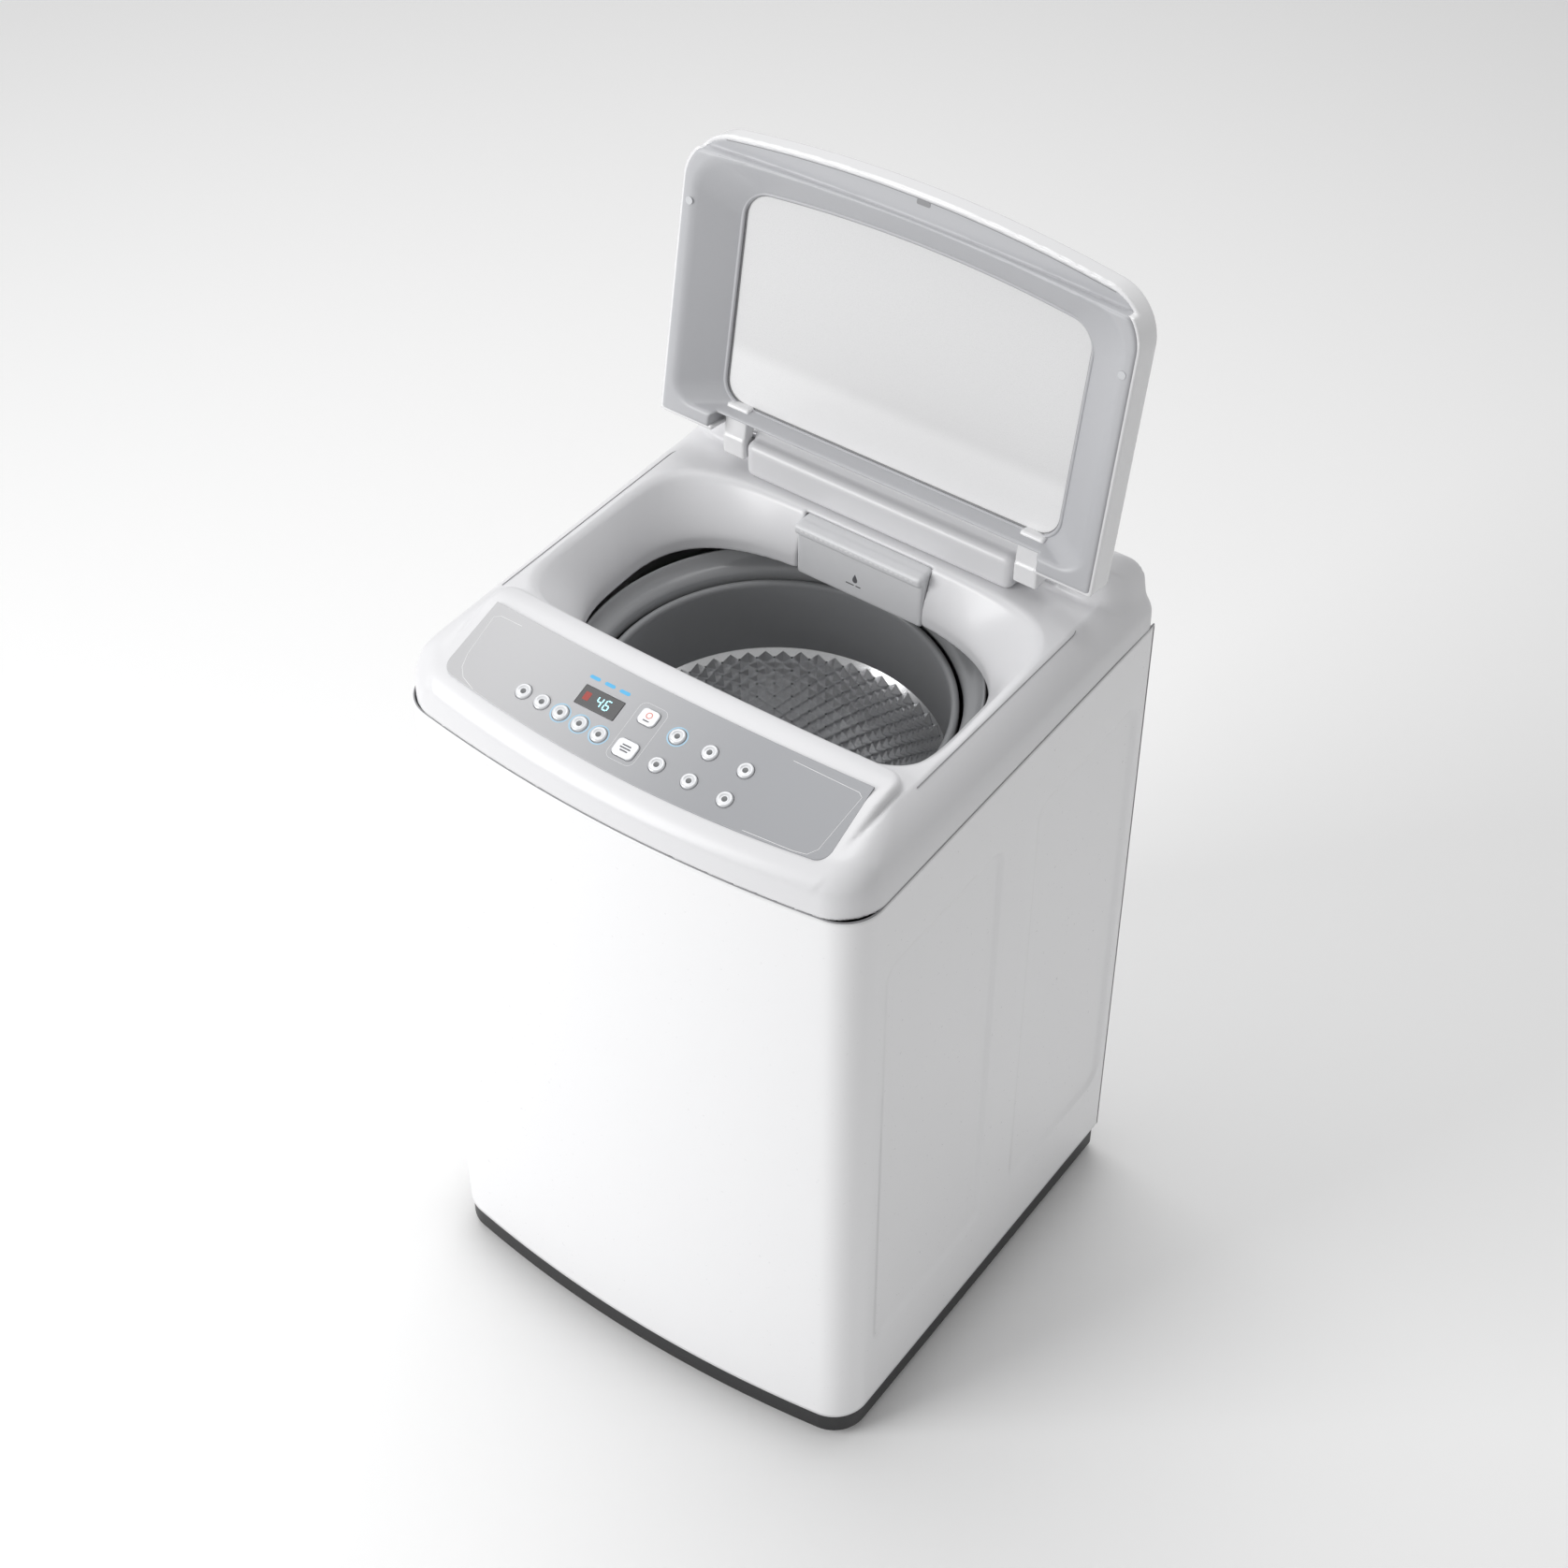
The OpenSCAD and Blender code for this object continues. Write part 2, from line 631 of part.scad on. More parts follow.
// The water inlet: a valve body behind a threaded spigot that faces the rear
module inlet_valve() color("white") translate([inlet_x, 0, inlet_z]) {
    difference() {
        union() {
            translate([0, rear_y - 44, 0]) rotate([-90, 0, 0]) cylinder(r = 13.2, h = 42);
            translate([-20, rear_y - 64, -20]) cube([40, 20, 38]);
            translate([0, rear_y - 44, 0]) rotate([-90, 0, 0]) cylinder(r = 19, h = 12.5);
        }
        translate([0, rear_y - 40, 0]) rotate([-90, 0, 0]) cylinder(r = 9.5, h = 50);
    }
    translate([0, rear_y - 54, -32]) cylinder(r = 9, h = 12);
}

module cord_gland() color("dimgray") translate([gland_x, back_y, gland_z]) rotate([-90, 0, 0]) difference() {
    union() {
        cylinder(r = 12, h = 5);
        translate([0, 0, 5]) cylinder(r1 = 9, r2 = 6.5, h = back_inset - 7);
    }
    translate([0, 0, -1]) cylinder(r = 3.6, h = 40);
}

// The stub that a drain hose is pushed over
module drain_outlet() color("dimgray") translate([valve_x, back_y, drain_z]) rotate([-90, 0, 0]) difference() {
    union() {
        cylinder(r = 22, h = 3);
        translate([0, 0, 3]) cylinder(r = 12, h = back_inset - 4);
    }
    translate([0, 0, -1]) cylinder(r = 9.5, h = 60);
}

// Screws that hold the back panel to the cabinet's rear flanges
module case_screws() color("silver") at_screws() translate([0, 0, sheet_t + fit_gap / 2]) {
    translate([0, 0, -9]) cylinder(r = screw_r, h = 9.1);
    cylinder(r = 2 * screw_r, h = 1.2 * screw_r);
}

// Wiring loom from the mains lead's gland up a corner of the cabinet to the control board
loom_r = 4;
loom_x = body_w / 2 - 24;       // where it runs along the side
loom_corner = [rod_x + 14, -rod_y - 27];    // where it rises, outside the front rod
loom = [[gland_x, back_y - 14, gland_z], [gland_x, back_y - 24, gland_z + 20], [loom_x, rod_y - 12, gland_z + 40],
    [loom_x, 12 - rod_y, gland_z + 40], [loom_corner[0], loom_corner[1], gland_z + 70],
    [loom_corner[0], loom_corner[1], seam_z - 20], [rod_x - 68, panel_y - 64, seam_z + 18],
    [rod_x - 118, panel_y - 56, seam_z + 30]];

function unit(v) = v / norm(v);

// A tube through a list of points, with flat ends
module tube(route, r, sides = 8) {
    last = len(route) - 1;
    side_hint = [0.8, 0.5, 0.1];    // not parallel to any stretch of the route
    function heading(i) = unit((i < last ? unit(route[i + 1] - route[i]) : [0, 0, 0])
        + (i > 0 ? unit(route[i] - route[i - 1]) : [0, 0, 0]));
    points = [for (i = [0 : last]) let (d = heading(i), u = unit(cross(d, side_hint)), v = cross(d, u))
        for (k = [0 : sides - 1]) route[i] + r * (cos(360 * k / sides) * u + sin(360 * k / sides) * v)];
    skin = [for (i = [0 : last - 1]) for (k = [0 : sides - 1]) each let (a = i * sides + k,
        b = i * sides + (k + 1) % sides) [[a, b + sides, b], [a, a + sides, b + sides]]];
    ends = [[for (k = [0 : sides - 1]) k], [for (k = [sides - 1 : -1 : 0]) last * sides + k]];
    polyhedron(points, concat(skin, ends), convexity = 6);
}

module wiring_loom() color("gray") tube(loom, loom_r);

// ---------------------------------------------------------------- hanging tub

module at_rods() {
    for (x = [-1, 1]) for (y = [-1, 1]) translate([x * rod_x, y * rod_y, 0]) children();
}

module suspension_rods() color("silver") at_rods() {
    translate([0, 0, rod_low]) cylinder(r = rod_r, h = seam_z - 19 - rod_low);
    translate([0, 0, rod_low]) cylinder(r = 15, h = 3);
    translate([0, 0, seam_z - 23 + eps]) cylinder(r = 8, h = 5);
}

// A wire helix with closed ends, as one swept tube
module coil(r, wire, height, turns) {
    sides = 5;
    per_turn = 10;
    rings = turns * per_turn;
    function ring_point(i, k) = let (a = 360 * i / per_turn, b = 360 * k / sides,
        rr = r + wire * cos(b)) [rr * cos(a), rr * sin(a), wire + (height - 2 * wire) * i / rings + wire * sin(b)];
    points = [for (i = [0 : rings]) for (k = [0 : sides - 1]) ring_point(i, k)];
    skin = [for (i = [0 : rings - 1]) for (k = [0 : sides - 1]) each let (a = i * sides + k,
        b = i * sides + (k + 1) % sides) [[a, b, b + sides], [a, b + sides, a + sides]]];
    ends = [[for (k = [sides - 1 : -1 : 0]) k], [for (k = [0 : sides - 1]) rings * sides + k]];
    polyhedron(points, concat(skin, ends), convexity = 8);
}

module suspension_springs() color("silver") at_rods()
    translate([0, 0, spring_low]) coil(9, 1.6, cup_low + 10.8 - spring_low, 6);

module damper_cups() color("dimgray") at_rods() translate([0, 0, cup_low]) difference() {
    cylinder(r = 16, h = 16);
    translate([0, 0, -1]) cylinder(r = 13, h = 12);
    cylinder(r = rod_r + 1, h = 30);
}

module outer_tub() color("gainsboro") translate([0, 0, tub_low]) difference() {
    rotate_extrude() polygon([[neck_r + fit_gap, 0], [tub_r - 16, 0], [tub_r + wall, 14], [tub_r + wall, ring_top - tub_low - 8],
        [tub_r + 8, ring_top - tub_low - 8], [tub_r + 8, ring_top - tub_low - 3], [tub_r, ring_top - tub_low - 3],
        [tub_r, 17], [tub_r - 18, wall], [neck_r + fit_gap, wall]]);
    translate([valve_x, valve_y, -1]) cylinder(r = 14, h = 10);
}

// Ring that closes the gap above the tub, round the balance ring
module tub_cover() color("gray") translate([0, 0, ring_top - 3]) rotate_extrude()
    polygon([[ring_r + 4, 2], [ring_r + 7, 10], [ring_r + 13, 15], [tub_r + 2, 12], [tub_r + 8, 4], [tub_r + 8, 0],
        [ring_r + 9, 0], [ring_r + 9, -4], [ring_r + 4, -4]]);

// Pressed plate under the tub, with an arm to each suspension rod and a tongue for the motor
module tub_support() color("silver") translate([0, 0, support_top - support_t]) difference() {
    linear_extrude(support_t) {
        round_rect(115, 115, 30);
        translate([0, motor_y / 2]) square([150, motor_y + 110], center = true);
        for (x = [-1, 1]) for (y = [-1, 1]) {
            rotate(atan2(y * rod_y, x * rod_x)) translate([60, -14]) square([norm([rod_x, rod_y]) - 60, 28]);
            translate([x * rod_x, y * rod_y]) circle(14);
        }
    }
    translate([0, 0, -1]) cylinder(r = neck_r + fit_gap, h = 8);
    at_rods() translate([0, 0, -1]) cylinder(r = rod_r + 1, h = 8);
}

gear_low = belt_z + 22;

module gearbox() color("dimgray") difference() {
    union() {
        translate([0, 0, gear_low]) cylinder(r = 50, h = support_top - support_t - gear_low);
        translate([0, 0, support_top - support_t - eps]) cylinder(r = neck_r, h = 25);
        for (a = [45 : 90 : 315]) rotate(a) translate([46, -6, gear_low + 8])
            cube([34, 12, support_top - support_t - gear_low - 8]);
    }
    translate([0, 0, gear_low - 1]) cylinder(r = tube_r + 2, h = 200);
    translate([0, 0, gear_low - eps]) cylinder(r = bearing_r, h = 14);
    translate([0, 0, tub_low - 6]) cylinder(r = bearing_r, h = 40);
}

module bearing(z) translate([0, 0, z]) difference() {
    cylinder(r = bearing_r, h = 12);
    translate([0, 0, -1]) cylinder(r = tube_r + run_gap, h = 20);
    for (f = [-1, 11.4]) translate([0, 0, f]) difference() {
        cylinder(r = bearing_r - 3, h = 1.6);
        cylinder(r = tube_r + 3, h = 2);
    }
}

module shaft_bearings() color("silver") {
    bearing(gear_low + 1.5);
    bearing(tub_low - 5.5);
}

module shaft_seal() color("black") translate([0, 0, tub_low + 7]) difference() {
    cylinder(r = bearing_r, h = 8);
    translate([0, 0, -1]) cylinder(r = tube_r + run_gap, h = 20);
    translate([0, 0, 4]) difference() {
        cylinder(r = bearing_r - 3, h = 8);
        cylinder(r = tube_r + 2.5, h = 8);
    }
}

module motor() color("silver") translate([0, motor_y, 0]) difference() {
    union() {
        translate([0, 0, gear_low + 6]) cylinder(r = 52, h = support_top - support_t - gear_low - 12);
        translate([0, 0, gear_low + 20]) cylinder(r = 57, h = 40);
        translate([0, 0, gear_low]) cylinder(r = 20, h = 8);
        for (a = [45 : 90 : 315]) rotate(a) translate([46, -7, support_top - support_t - 7]) cube([22, 14, 7]);
    }
    translate([0, 0, gear_low - 1]) cylinder(r = 6 + run_gap, h = 30);
}

// A belt pulley with one groove, at its own axis
module pulley(r, bore_r, web) difference() {
    rotate_extrude() polygon([[bore_r, 0], [r, 0], [r, 3], [r - 4, 5.5], [r - 4, 10.5], [r, 13], [r, 16],
        [r - 9, 16], [r - 9, web], [bore_r + 8, web], [bore_r + 8, 16], [bore_r, 16]]);
    if (r > 40) for (a = [0 : 60 : 300]) rotate(a) translate([(r + bore_r) / 2, 0, -1]) cylinder(r = 13, h = 20);
}

module drum_pulley() color("dimgray") translate([0, 0, belt_z]) pulley(pulley_r, shaft_r, 5);

module motor_pulley() color("silver") translate([0, motor_y, belt_z]) {
    pulley(motor_pulley_r, 5.9, 16);
    translate([0, 0, -3]) cylinder(r = 6, h = gear_low - belt_z + 22);
}

module belt_loop(grow) {
    hull() {
        circle(pulley_r - 4 + slide_gap + grow);
        translate([0, motor_y]) circle(motor_pulley_r - 4 + slide_gap + grow);
    }
}

module drive_belt() color("black") translate([0, 0, belt_z + 6]) linear_extrude(4) difference() {
    belt_loop(3.2);
    belt_loop(0);
}

valve_low = tub_low - 42;

module drain_valve() color("lightgray") translate([valve_x, valve_y, valve_low]) {
    difference() {
        union() {
            cylinder(r = 24, h = 36);
            translate([0, 0, 35]) cylinder(r = 13.8, h = 12);
            translate([-54, -12, 4]) cube([36, 24, 24]);
        }
        translate([0, 0, 10]) cylinder(r = 11, h = 60);
    }
    translate([0, 0, -8]) cylinder(r = 11, h = 9);
}

// A ribbed length of hose, along Z
module ribs(length) {
    n = floor(length / 8);
    cylinder(r = 12, h = length);
    for (i = [0 : n - 1]) translate([0, 0, (i + 0.25) * length / n]) cylinder(r = 13.6, h = length / n / 2);
}

// Hose from the valve down and back to the outlet, on one bend
module drain_hose() color("gray") translate([valve_x, valve_y, drain_z]) difference() {
    union() {
        translate([0, 0, drain_bend]) ribs(valve_low - drain_z - drain_bend);
        translate([0, drain_bend, drain_bend]) rotate([90, 0, 90]) rotate([0, 0, 180])
            rotate_extrude(angle = 90) translate([drain_bend, 0]) circle(12.8);
        translate([0, drain_bend, 0]) rotate([-90, 0, 0]) ribs(back_y - sheet_t - valve_y - drain_bend);
    }
    translate([0, 0, valve_low - drain_z - 8]) cylinder(r = 11, h = 9);
}

// ---------------------------------------------------------------- basket

// Rows of drain holes, few and wide enough to stay true bores
module basket() color("silver") difference() {
    translate([0, 0, basket_low]) cylinder(r = basket_r + 1, h = ring_low + 8 - basket_low, $fn = 128);
    translate([0, 0, basket_low - 1]) cylinder(r = basket_r, h = basket_h, $fn = 128);
    rows = floor((ring_low - basket_low - 90) / hole_pitch);
    for (row = [0 : rows]) for (a = [0 : 30 : 330]) rotate(a + 15 * (row % 2))
        translate([basket_r - 5, 0, basket_low + 55 + hole_pitch * row]) rotate([0, 90, 0])
            cylinder(r = 3, h = 12);
}

module balance_ring() color("gray") translate([0, 0, ring_low]) difference() {
    rotate_extrude($fn = 128) polygon([[basket_r - 2, 0], [ring_r, 0], [ring_r, ring_h - 3], [ring_r - 3, ring_h],
        [ring_r - 7, ring_h], [ring_r - 9, ring_h - 4]]);
    translate([0, 0, -1]) difference() {
        cylinder(r = basket_r + 1 + fit_gap, h = 10, $fn = 128);
        translate([0, 0, -1]) cylinder(r = basket_r - fit_gap, h = 20, $fn = 128);
    }
}

module basket_base() color("lightgray") translate([0, 0, basket_low - 6]) difference() {
    rotate_extrude() polygon([[shaft_r + 14, 0], [60, 0], [60, 4], [basket_r - 12, 4], [basket_r - fit_gap, 16],
        [basket_r - fit_gap, 30], [basket_r - 8, 30], [pulsator_r + 8, 22], [pulsator_r + 4, 8], [shaft_r + 14, 8]]);
    for (a = [0 : 60 : 300]) rotate(a) translate([48, 0, -1]) cylinder(r = 3.2, h = 20);
    for (a = [0 : 30 : 330]) rotate(a) translate([110, 0, -1]) cylinder(r = 5, h = 20);
}

// Net holder clipped to the basket's wall
module lint_filter() color("white") rotate(-90) translate([basket_r - 16, 0, basket_low + 60]) difference() {
    intersection() {
        translate([0, -36, 0]) cube([15, 72, 150]);
        translate([16 - basket_r, 0, -1]) cylinder(r = basket_r - fit_gap, h = 200, $fn = 128);
    }
    translate([-1, -28, 14]) cube([4, 56, 122]);
    translate([3 - eps, -30, 10]) cube([6, 60, 130]);
}

module spin_tube() color("silver") translate([0, 0, belt_z + 19]) difference() {
    union() {
        cylinder(r = tube_r, h = basket_low - belt_z - 19);
        translate([0, 0, basket_low - 6 - 8 - belt_z - 19]) cylinder(r = 58, h = 8);
    }
    translate([0, 0, -1]) cylinder(r = shaft_r + run_gap, h = 400);
    for (a = [0 : 60 : 300]) rotate(a) translate([48, 0, basket_low - 40 - belt_z]) cylinder(r = 3.2, h = 30);
}

module pulsator() color("lightgray") translate([0, 0, basket_low + 3]) difference() {
    union() {
        rotate_extrude() polygon([[shaft_r, 3], [pulsator_r - 20, 3], [pulsator_r, 12], [pulsator_r, 15],
            [pulsator_r - 22, 8], [60, 14], [34, 34], [12, 38], [shaft_r, 38]]);
        for (a = [0 : 60 : 300]) rotate(a) intersection() {
            translate([30, -9, 4]) cube([pulsator_r - 44, 18, 24]);
            translate([30, 0, -36]) rotate([0, 90, 0]) cylinder(r = 58, h = pulsator_r);
            translate([0, 0, 0]) cylinder(r1 = pulsator_r + 12, r2 = 40, h = 60);
        }
    }
    translate([0, 0, 32]) cylinder(r = 12, h = 10);
}

// The shaft that turns the pulsator, with the screw that holds the pulsator on its end
module wash_shaft() color("silver") {
    difference() {
        translate([0, 0, belt_z - 6]) cylinder(r = shaft_r, h = basket_low + 35 - belt_z + 6);
        translate([0, 0, basket_low + 20]) cylinder(r = 3, h = 20);
    }
    translate([0, 0, basket_low + 35.2]) cylinder(r = 8, h = 5, $fn = 6);
    translate([0, 0, basket_low + 21.2]) cylinder(r = 2.9, h = 14.2);
}

cabinet();
back_panel();
base_frame();
foot_front_left();
foot_front_right();
foot_rear_left();
foot_rear_right();
top_cover();
hinge_cover();
hinge_pins();
lid_outer();
lid_inner_frame();
lid_window();
lid_bumpers();
control_panel();
display_window();
control_board();
button_option_1();
button_option_2();
button_option_3();
button_option_4();
button_option_5();
button_power();
button_start();
button_program_1();
button_program_2();
button_program_3();
button_program_4();
button_program_5();
button_program_6();
detergent_drawer();
lid_switch();
pressure_switch();
inlet_valve();
cord_gland();
drain_outlet();
case_screws();
wiring_loom();
suspension_rods();
suspension_springs();
damper_cups();
outer_tub();
tub_cover();
tub_support();
gearbox();
shaft_bearings();
shaft_seal();
motor();
motor_pulley();
drive_belt();
drain_valve();
drain_hose();
basket();
balance_ring();
basket_base();
lint_filter();
spin_tube();
pulsator();
wash_shaft();
drum_pulley();
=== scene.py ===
import math

import bmesh
import bpy
import numpy as np
from mathutils import Matrix, Vector


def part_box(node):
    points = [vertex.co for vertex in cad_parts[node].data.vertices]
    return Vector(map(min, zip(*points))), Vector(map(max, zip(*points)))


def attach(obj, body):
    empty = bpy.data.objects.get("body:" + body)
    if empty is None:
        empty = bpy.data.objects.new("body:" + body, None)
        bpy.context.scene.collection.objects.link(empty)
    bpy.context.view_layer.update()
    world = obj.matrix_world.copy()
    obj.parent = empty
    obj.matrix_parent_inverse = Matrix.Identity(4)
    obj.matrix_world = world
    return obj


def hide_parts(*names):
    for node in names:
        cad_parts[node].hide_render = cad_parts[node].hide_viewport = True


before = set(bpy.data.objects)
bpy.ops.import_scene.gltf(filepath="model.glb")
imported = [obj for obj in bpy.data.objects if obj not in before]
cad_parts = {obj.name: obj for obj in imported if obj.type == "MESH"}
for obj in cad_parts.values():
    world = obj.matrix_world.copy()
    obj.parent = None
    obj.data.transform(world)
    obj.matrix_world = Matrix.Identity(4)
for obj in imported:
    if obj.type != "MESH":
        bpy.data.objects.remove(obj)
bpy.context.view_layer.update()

# ---- Studio: a pale floor that the washer stands on, a white room, and three soft boxes.
# The key stands high on the left of the front, a weaker one on the right, and one overhead.
target = Vector((0.0112, 0, 0.6589))
azimuth = math.radians(35.654)
elevation = math.radians(44.126)
distance = 2.9858
camera = bpy.data.objects.new("camera", bpy.data.cameras.new("camera"))
bpy.context.scene.collection.objects.link(camera)
camera.data.lens = 67.84
camera.data.sensor_width = 36
back = Vector((math.sin(azimuth) * math.cos(elevation), -math.cos(azimuth) * math.cos(elevation),
               math.sin(elevation)))
camera.location = target + back * distance
camera.rotation_euler = back.to_track_quat("Z", "Y").to_euler()
bpy.context.scene.camera = camera

world = bpy.data.worlds.new("white_room")
world.use_nodes = True
world.node_tree.nodes["Background"].inputs["Color"].default_value = (1, 1, 1, 1)
world.node_tree.nodes["Background"].inputs["Strength"].default_value = 0.42
bpy.context.scene.world = world
bpy.context.scene.view_settings.view_transform = "Standard"


def soft_box(name, place, size, watts, aim=(0, 0, 0.7)):
    light = bpy.data.objects.new(name, bpy.data.lights.new(name, "AREA"))
    light.data.energy = watts
    light.data.size = size
    light.location = place
    light.rotation_euler = (Vector(place) - Vector(aim)).to_track_quat("Z", "Y").to_euler()
    bpy.context.scene.collection.objects.link(light)


soft_box("key_light", (-2.0, -3.1, 2.1), 2.0, 92)
soft_box("side_light", (3.2, 1.2, 3.0), 1.2, 3)
soft_box("top_light", (-0.9, 0.9, 3.6), 2.8, 56, (0, 0, 0.6))


def blank_material(name):
    material = bpy.data.materials.new(name)
    material.use_nodes = True
    nodes = material.node_tree.nodes
    return material, nodes, material.node_tree.links, nodes["Principled BSDF"]


# A moulded or painted finish: one colour, with a fine texture that breaks up its gloss.
def finish(name, colour, roughness, grain=600, depth=0.02, metallic=0.0, coat=0.0, spread=0.06):
    material, nodes, links, shader = blank_material(name)
    shader.inputs["Base Color"].default_value = (*colour, 1)
    shader.inputs["Metallic"].default_value = metallic
    shader.inputs["Coat Weight"].default_value = coat
    shader.inputs["Coat Roughness"].default_value = 0.12
    place = nodes.new("ShaderNodeTexCoord")
    noise = nodes.new("ShaderNodeTexNoise")
    noise.inputs["Scale"].default_value = grain
    noise.inputs["Detail"].default_value = 3
    links.new(place.outputs["Object"], noise.inputs["Vector"])
    sheen = nodes.new("ShaderNodeMapRange")
    sheen.inputs["To Min"].default_value = max(roughness - spread, 0.02)
    sheen.inputs["To Max"].default_value = roughness + spread
    links.new(noise.outputs["Fac"], sheen.inputs["Value"])
    links.new(sheen.outputs["Result"], shader.inputs["Roughness"])
    bump = nodes.new("ShaderNodeBump")
    bump.inputs["Strength"].default_value = depth
    bump.inputs["Distance"].default_value = 0.0005
    links.new(noise.outputs["Fac"], bump.inputs["Height"])
    links.new(bump.outputs["Normal"], shader.inputs["Normal"])
    return material


floor_mesh = bmesh.new()
bmesh.ops.create_grid(floor_mesh, x_segments=4, y_segments=4, size=6)
floor_data = bpy.data.meshes.new("studio_floor")
floor_mesh.to_mesh(floor_data)
floor_mesh.free()
floor_data.materials.append(finish("floor_paint", (0.97, 0.97, 0.97), 0.8, 40, 0.0))
studio_floor = bpy.data.objects.new("studio_floor", floor_data)
bpy.context.scene.collection.objects.link(studio_floor)
studio_floor.location.z = -0.0005


# ---- Cabinet: one sheet of white enamelled steel, bent round the bowed front and both sides,
# with two shallow panels pressed into each side and a flange folded in at each rear edge.
low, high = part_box("cabinet")
half_wide = high.x
front = low.y
rear = high.y
seam = high.z
base_top = low.z
bow_radius = (half_wide ** 2 + 0.025 ** 2) / 0.05
corner = 0.042
seam_gap = 0.0006
enamel = finish("white_enamel", (0.87, 0.87, 0.88), 0.3, 260, 0.035, coat=0.25)


def solid(name, verts, faces, materials, body, node=None, smooth=True):
    """Makes a piece from points in metres, and lets it ride on its body."""
    mesh = bpy.data.meshes.new(name)
    mesh.from_pydata(verts, [], faces)
    mesh.validate()
    for material in materials:
        mesh.materials.append(material)
    piece = bpy.data.objects.new(name, mesh)
    bpy.context.scene.collection.objects.link(piece)
    if smooth:
        mesh.shade_smooth()
    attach(piece, body)
    if node:
        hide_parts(node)
    return piece


def half_outline(inset, step=0.004):
    """Points from the middle of the front round one corner and along the side to the rear edge."""
    radius = bow_radius - inset
    bend = corner - inset
    centre_x = half_wide - corner
    centre_y = front + bow_radius - math.sqrt((bow_radius - corner) ** 2 - centre_x ** 2)
    sweep = math.asin(centre_x / (bow_radius - corner))
    count = round(radius * sweep / (2 * step))
    points = [(radius * math.sin(sweep * i / count), front + bow_radius - radius * math.cos(sweep * i / count))
              for i in range(count)]
    turn = math.pi / 2 - sweep
    points += [(centre_x + bend * math.sin(sweep + turn * i / 14), centre_y - bend * math.cos(sweep + turn * i / 14))
               for i in range(15)]
    count = round((rear - centre_y) / step)
    points += [(half_wide - inset, centre_y + (rear - centre_y) * i / count) for i in range(1, count + 1)]
    return points


def smoothstep(a, b, value):
    t = np.clip((value - a) / (b - a), 0, 1)
    return t * t * (3 - 2 * t)


press_depth = 0.003
press_edge = 0.0045
press_corner = 0.02


def pressed(y, z):
    """How far the sheet is pressed in at a place on a side."""
    deepest = 0.0
    for y0, y1 in ((front + 0.072, 0.002), (0.067, rear - 0.017)):
        across = abs(y - (y0 + y1) / 2) - (y1 - y0) / 2
        up = abs(z - seam + 0.384) - 0.291
        out, over = across + press_corner, up + press_corner
        edge = min(max(out, over), 0) + math.hypot(max(out, 0), max(over, 0)) - press_corner
        deepest = max(deepest, float(1 - smoothstep(-press_edge, 0, edge)))
    return press_depth * deepest


right = half_outline(0)
loop = [(-x, y) for x, y in reversed(right[1:])] + right
rows = 168
verts = []
for row in range(rows + 1):
    z = base_top + (seam - seam_gap - base_top) * row / rows
    for x, y in loop:
        on_side = abs(x) > half_wide - 0.0001
        depth = pressed(y, z) if on_side else 0
        verts.append((x - math.copysign(depth, x), y, z))
width = len(loop)
faces = [(r * width + i, r * width + i + 1, (r + 1) * width + i + 1, (r + 1) * width + i)
         for r in range(rows) for i in range(width - 1)]
cabinet = solid("cabinet_sheet", verts, faces, [enamel], "casing", "cabinet")
thickness = cabinet.modifiers.new("sheet", "SOLIDIFY")
thickness.thickness = 0.0012
thickness.offset = -1
for side in (-1, 1):
    edge = side * half_wide
    ring = [(edge, rear - 0.001), (edge, rear - 0.0025), (edge - side * 0.003, rear - 0.005),
            (edge - side * 0.018, rear - 0.005), (edge - side * 0.018, rear - 0.0062),
            (edge - side * 0.0035, rear - 0.0062), (edge - side * 0.0015, rear - 0.004),
            (edge - side * 0.0012, rear - 0.001)]
    verts = [(x, y, z) for z in (base_top, seam) for x, y in ring]
    n = len(ring)
    faces = [(i, (i + 1) % n, n + (i + 1) % n, n + i) for i in range(n)] + [tuple(range(n)), tuple(range(n, 2 * n))]
    solid("rear_flange_right" if side > 0 else "rear_flange_left", verts, faces, [enamel], "casing", smooth=False)


# ---- Base, back and feet: a black plastic base under the cabinet with a rubber foot at each corner,
# and a painted steel pan that closes the back, held with bright screws.
def dress(material, *names):
    for name in names:
        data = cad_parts[name].data
        data.materials.clear()
        data.materials.append(material)


black_plastic = finish("black_base_plastic", (0.012, 0.012, 0.013), 0.45, 900, 0.15)
rubber = finish("black_rubber", (0.02, 0.02, 0.02), 0.7, 500, 0.4)
dark_plastic = finish("dark_grey_plastic", (0.06, 0.06, 0.065), 0.5, 700, 0.2)
bright_steel = finish("bright_steel", (0.62, 0.62, 0.64), 0.3, 500, 0.1, metallic=1)
dress(enamel, "back_panel")
dress(black_plastic, "base_frame")
dress(rubber, "foot_front_left", "foot_front_right", "foot_rear_left", "foot_rear_right", "shaft_seal", "drive_belt")
dress(dark_plastic, "lid_switch", "pressure_switch", "cord_gland", "drain_outlet", "damper_cups", "drum_pulley")
dress(bright_steel, "case_screws", "hinge_pins", "suspension_rods", "suspension_springs", "shaft_bearings",
      "wash_shaft", "spin_tube")


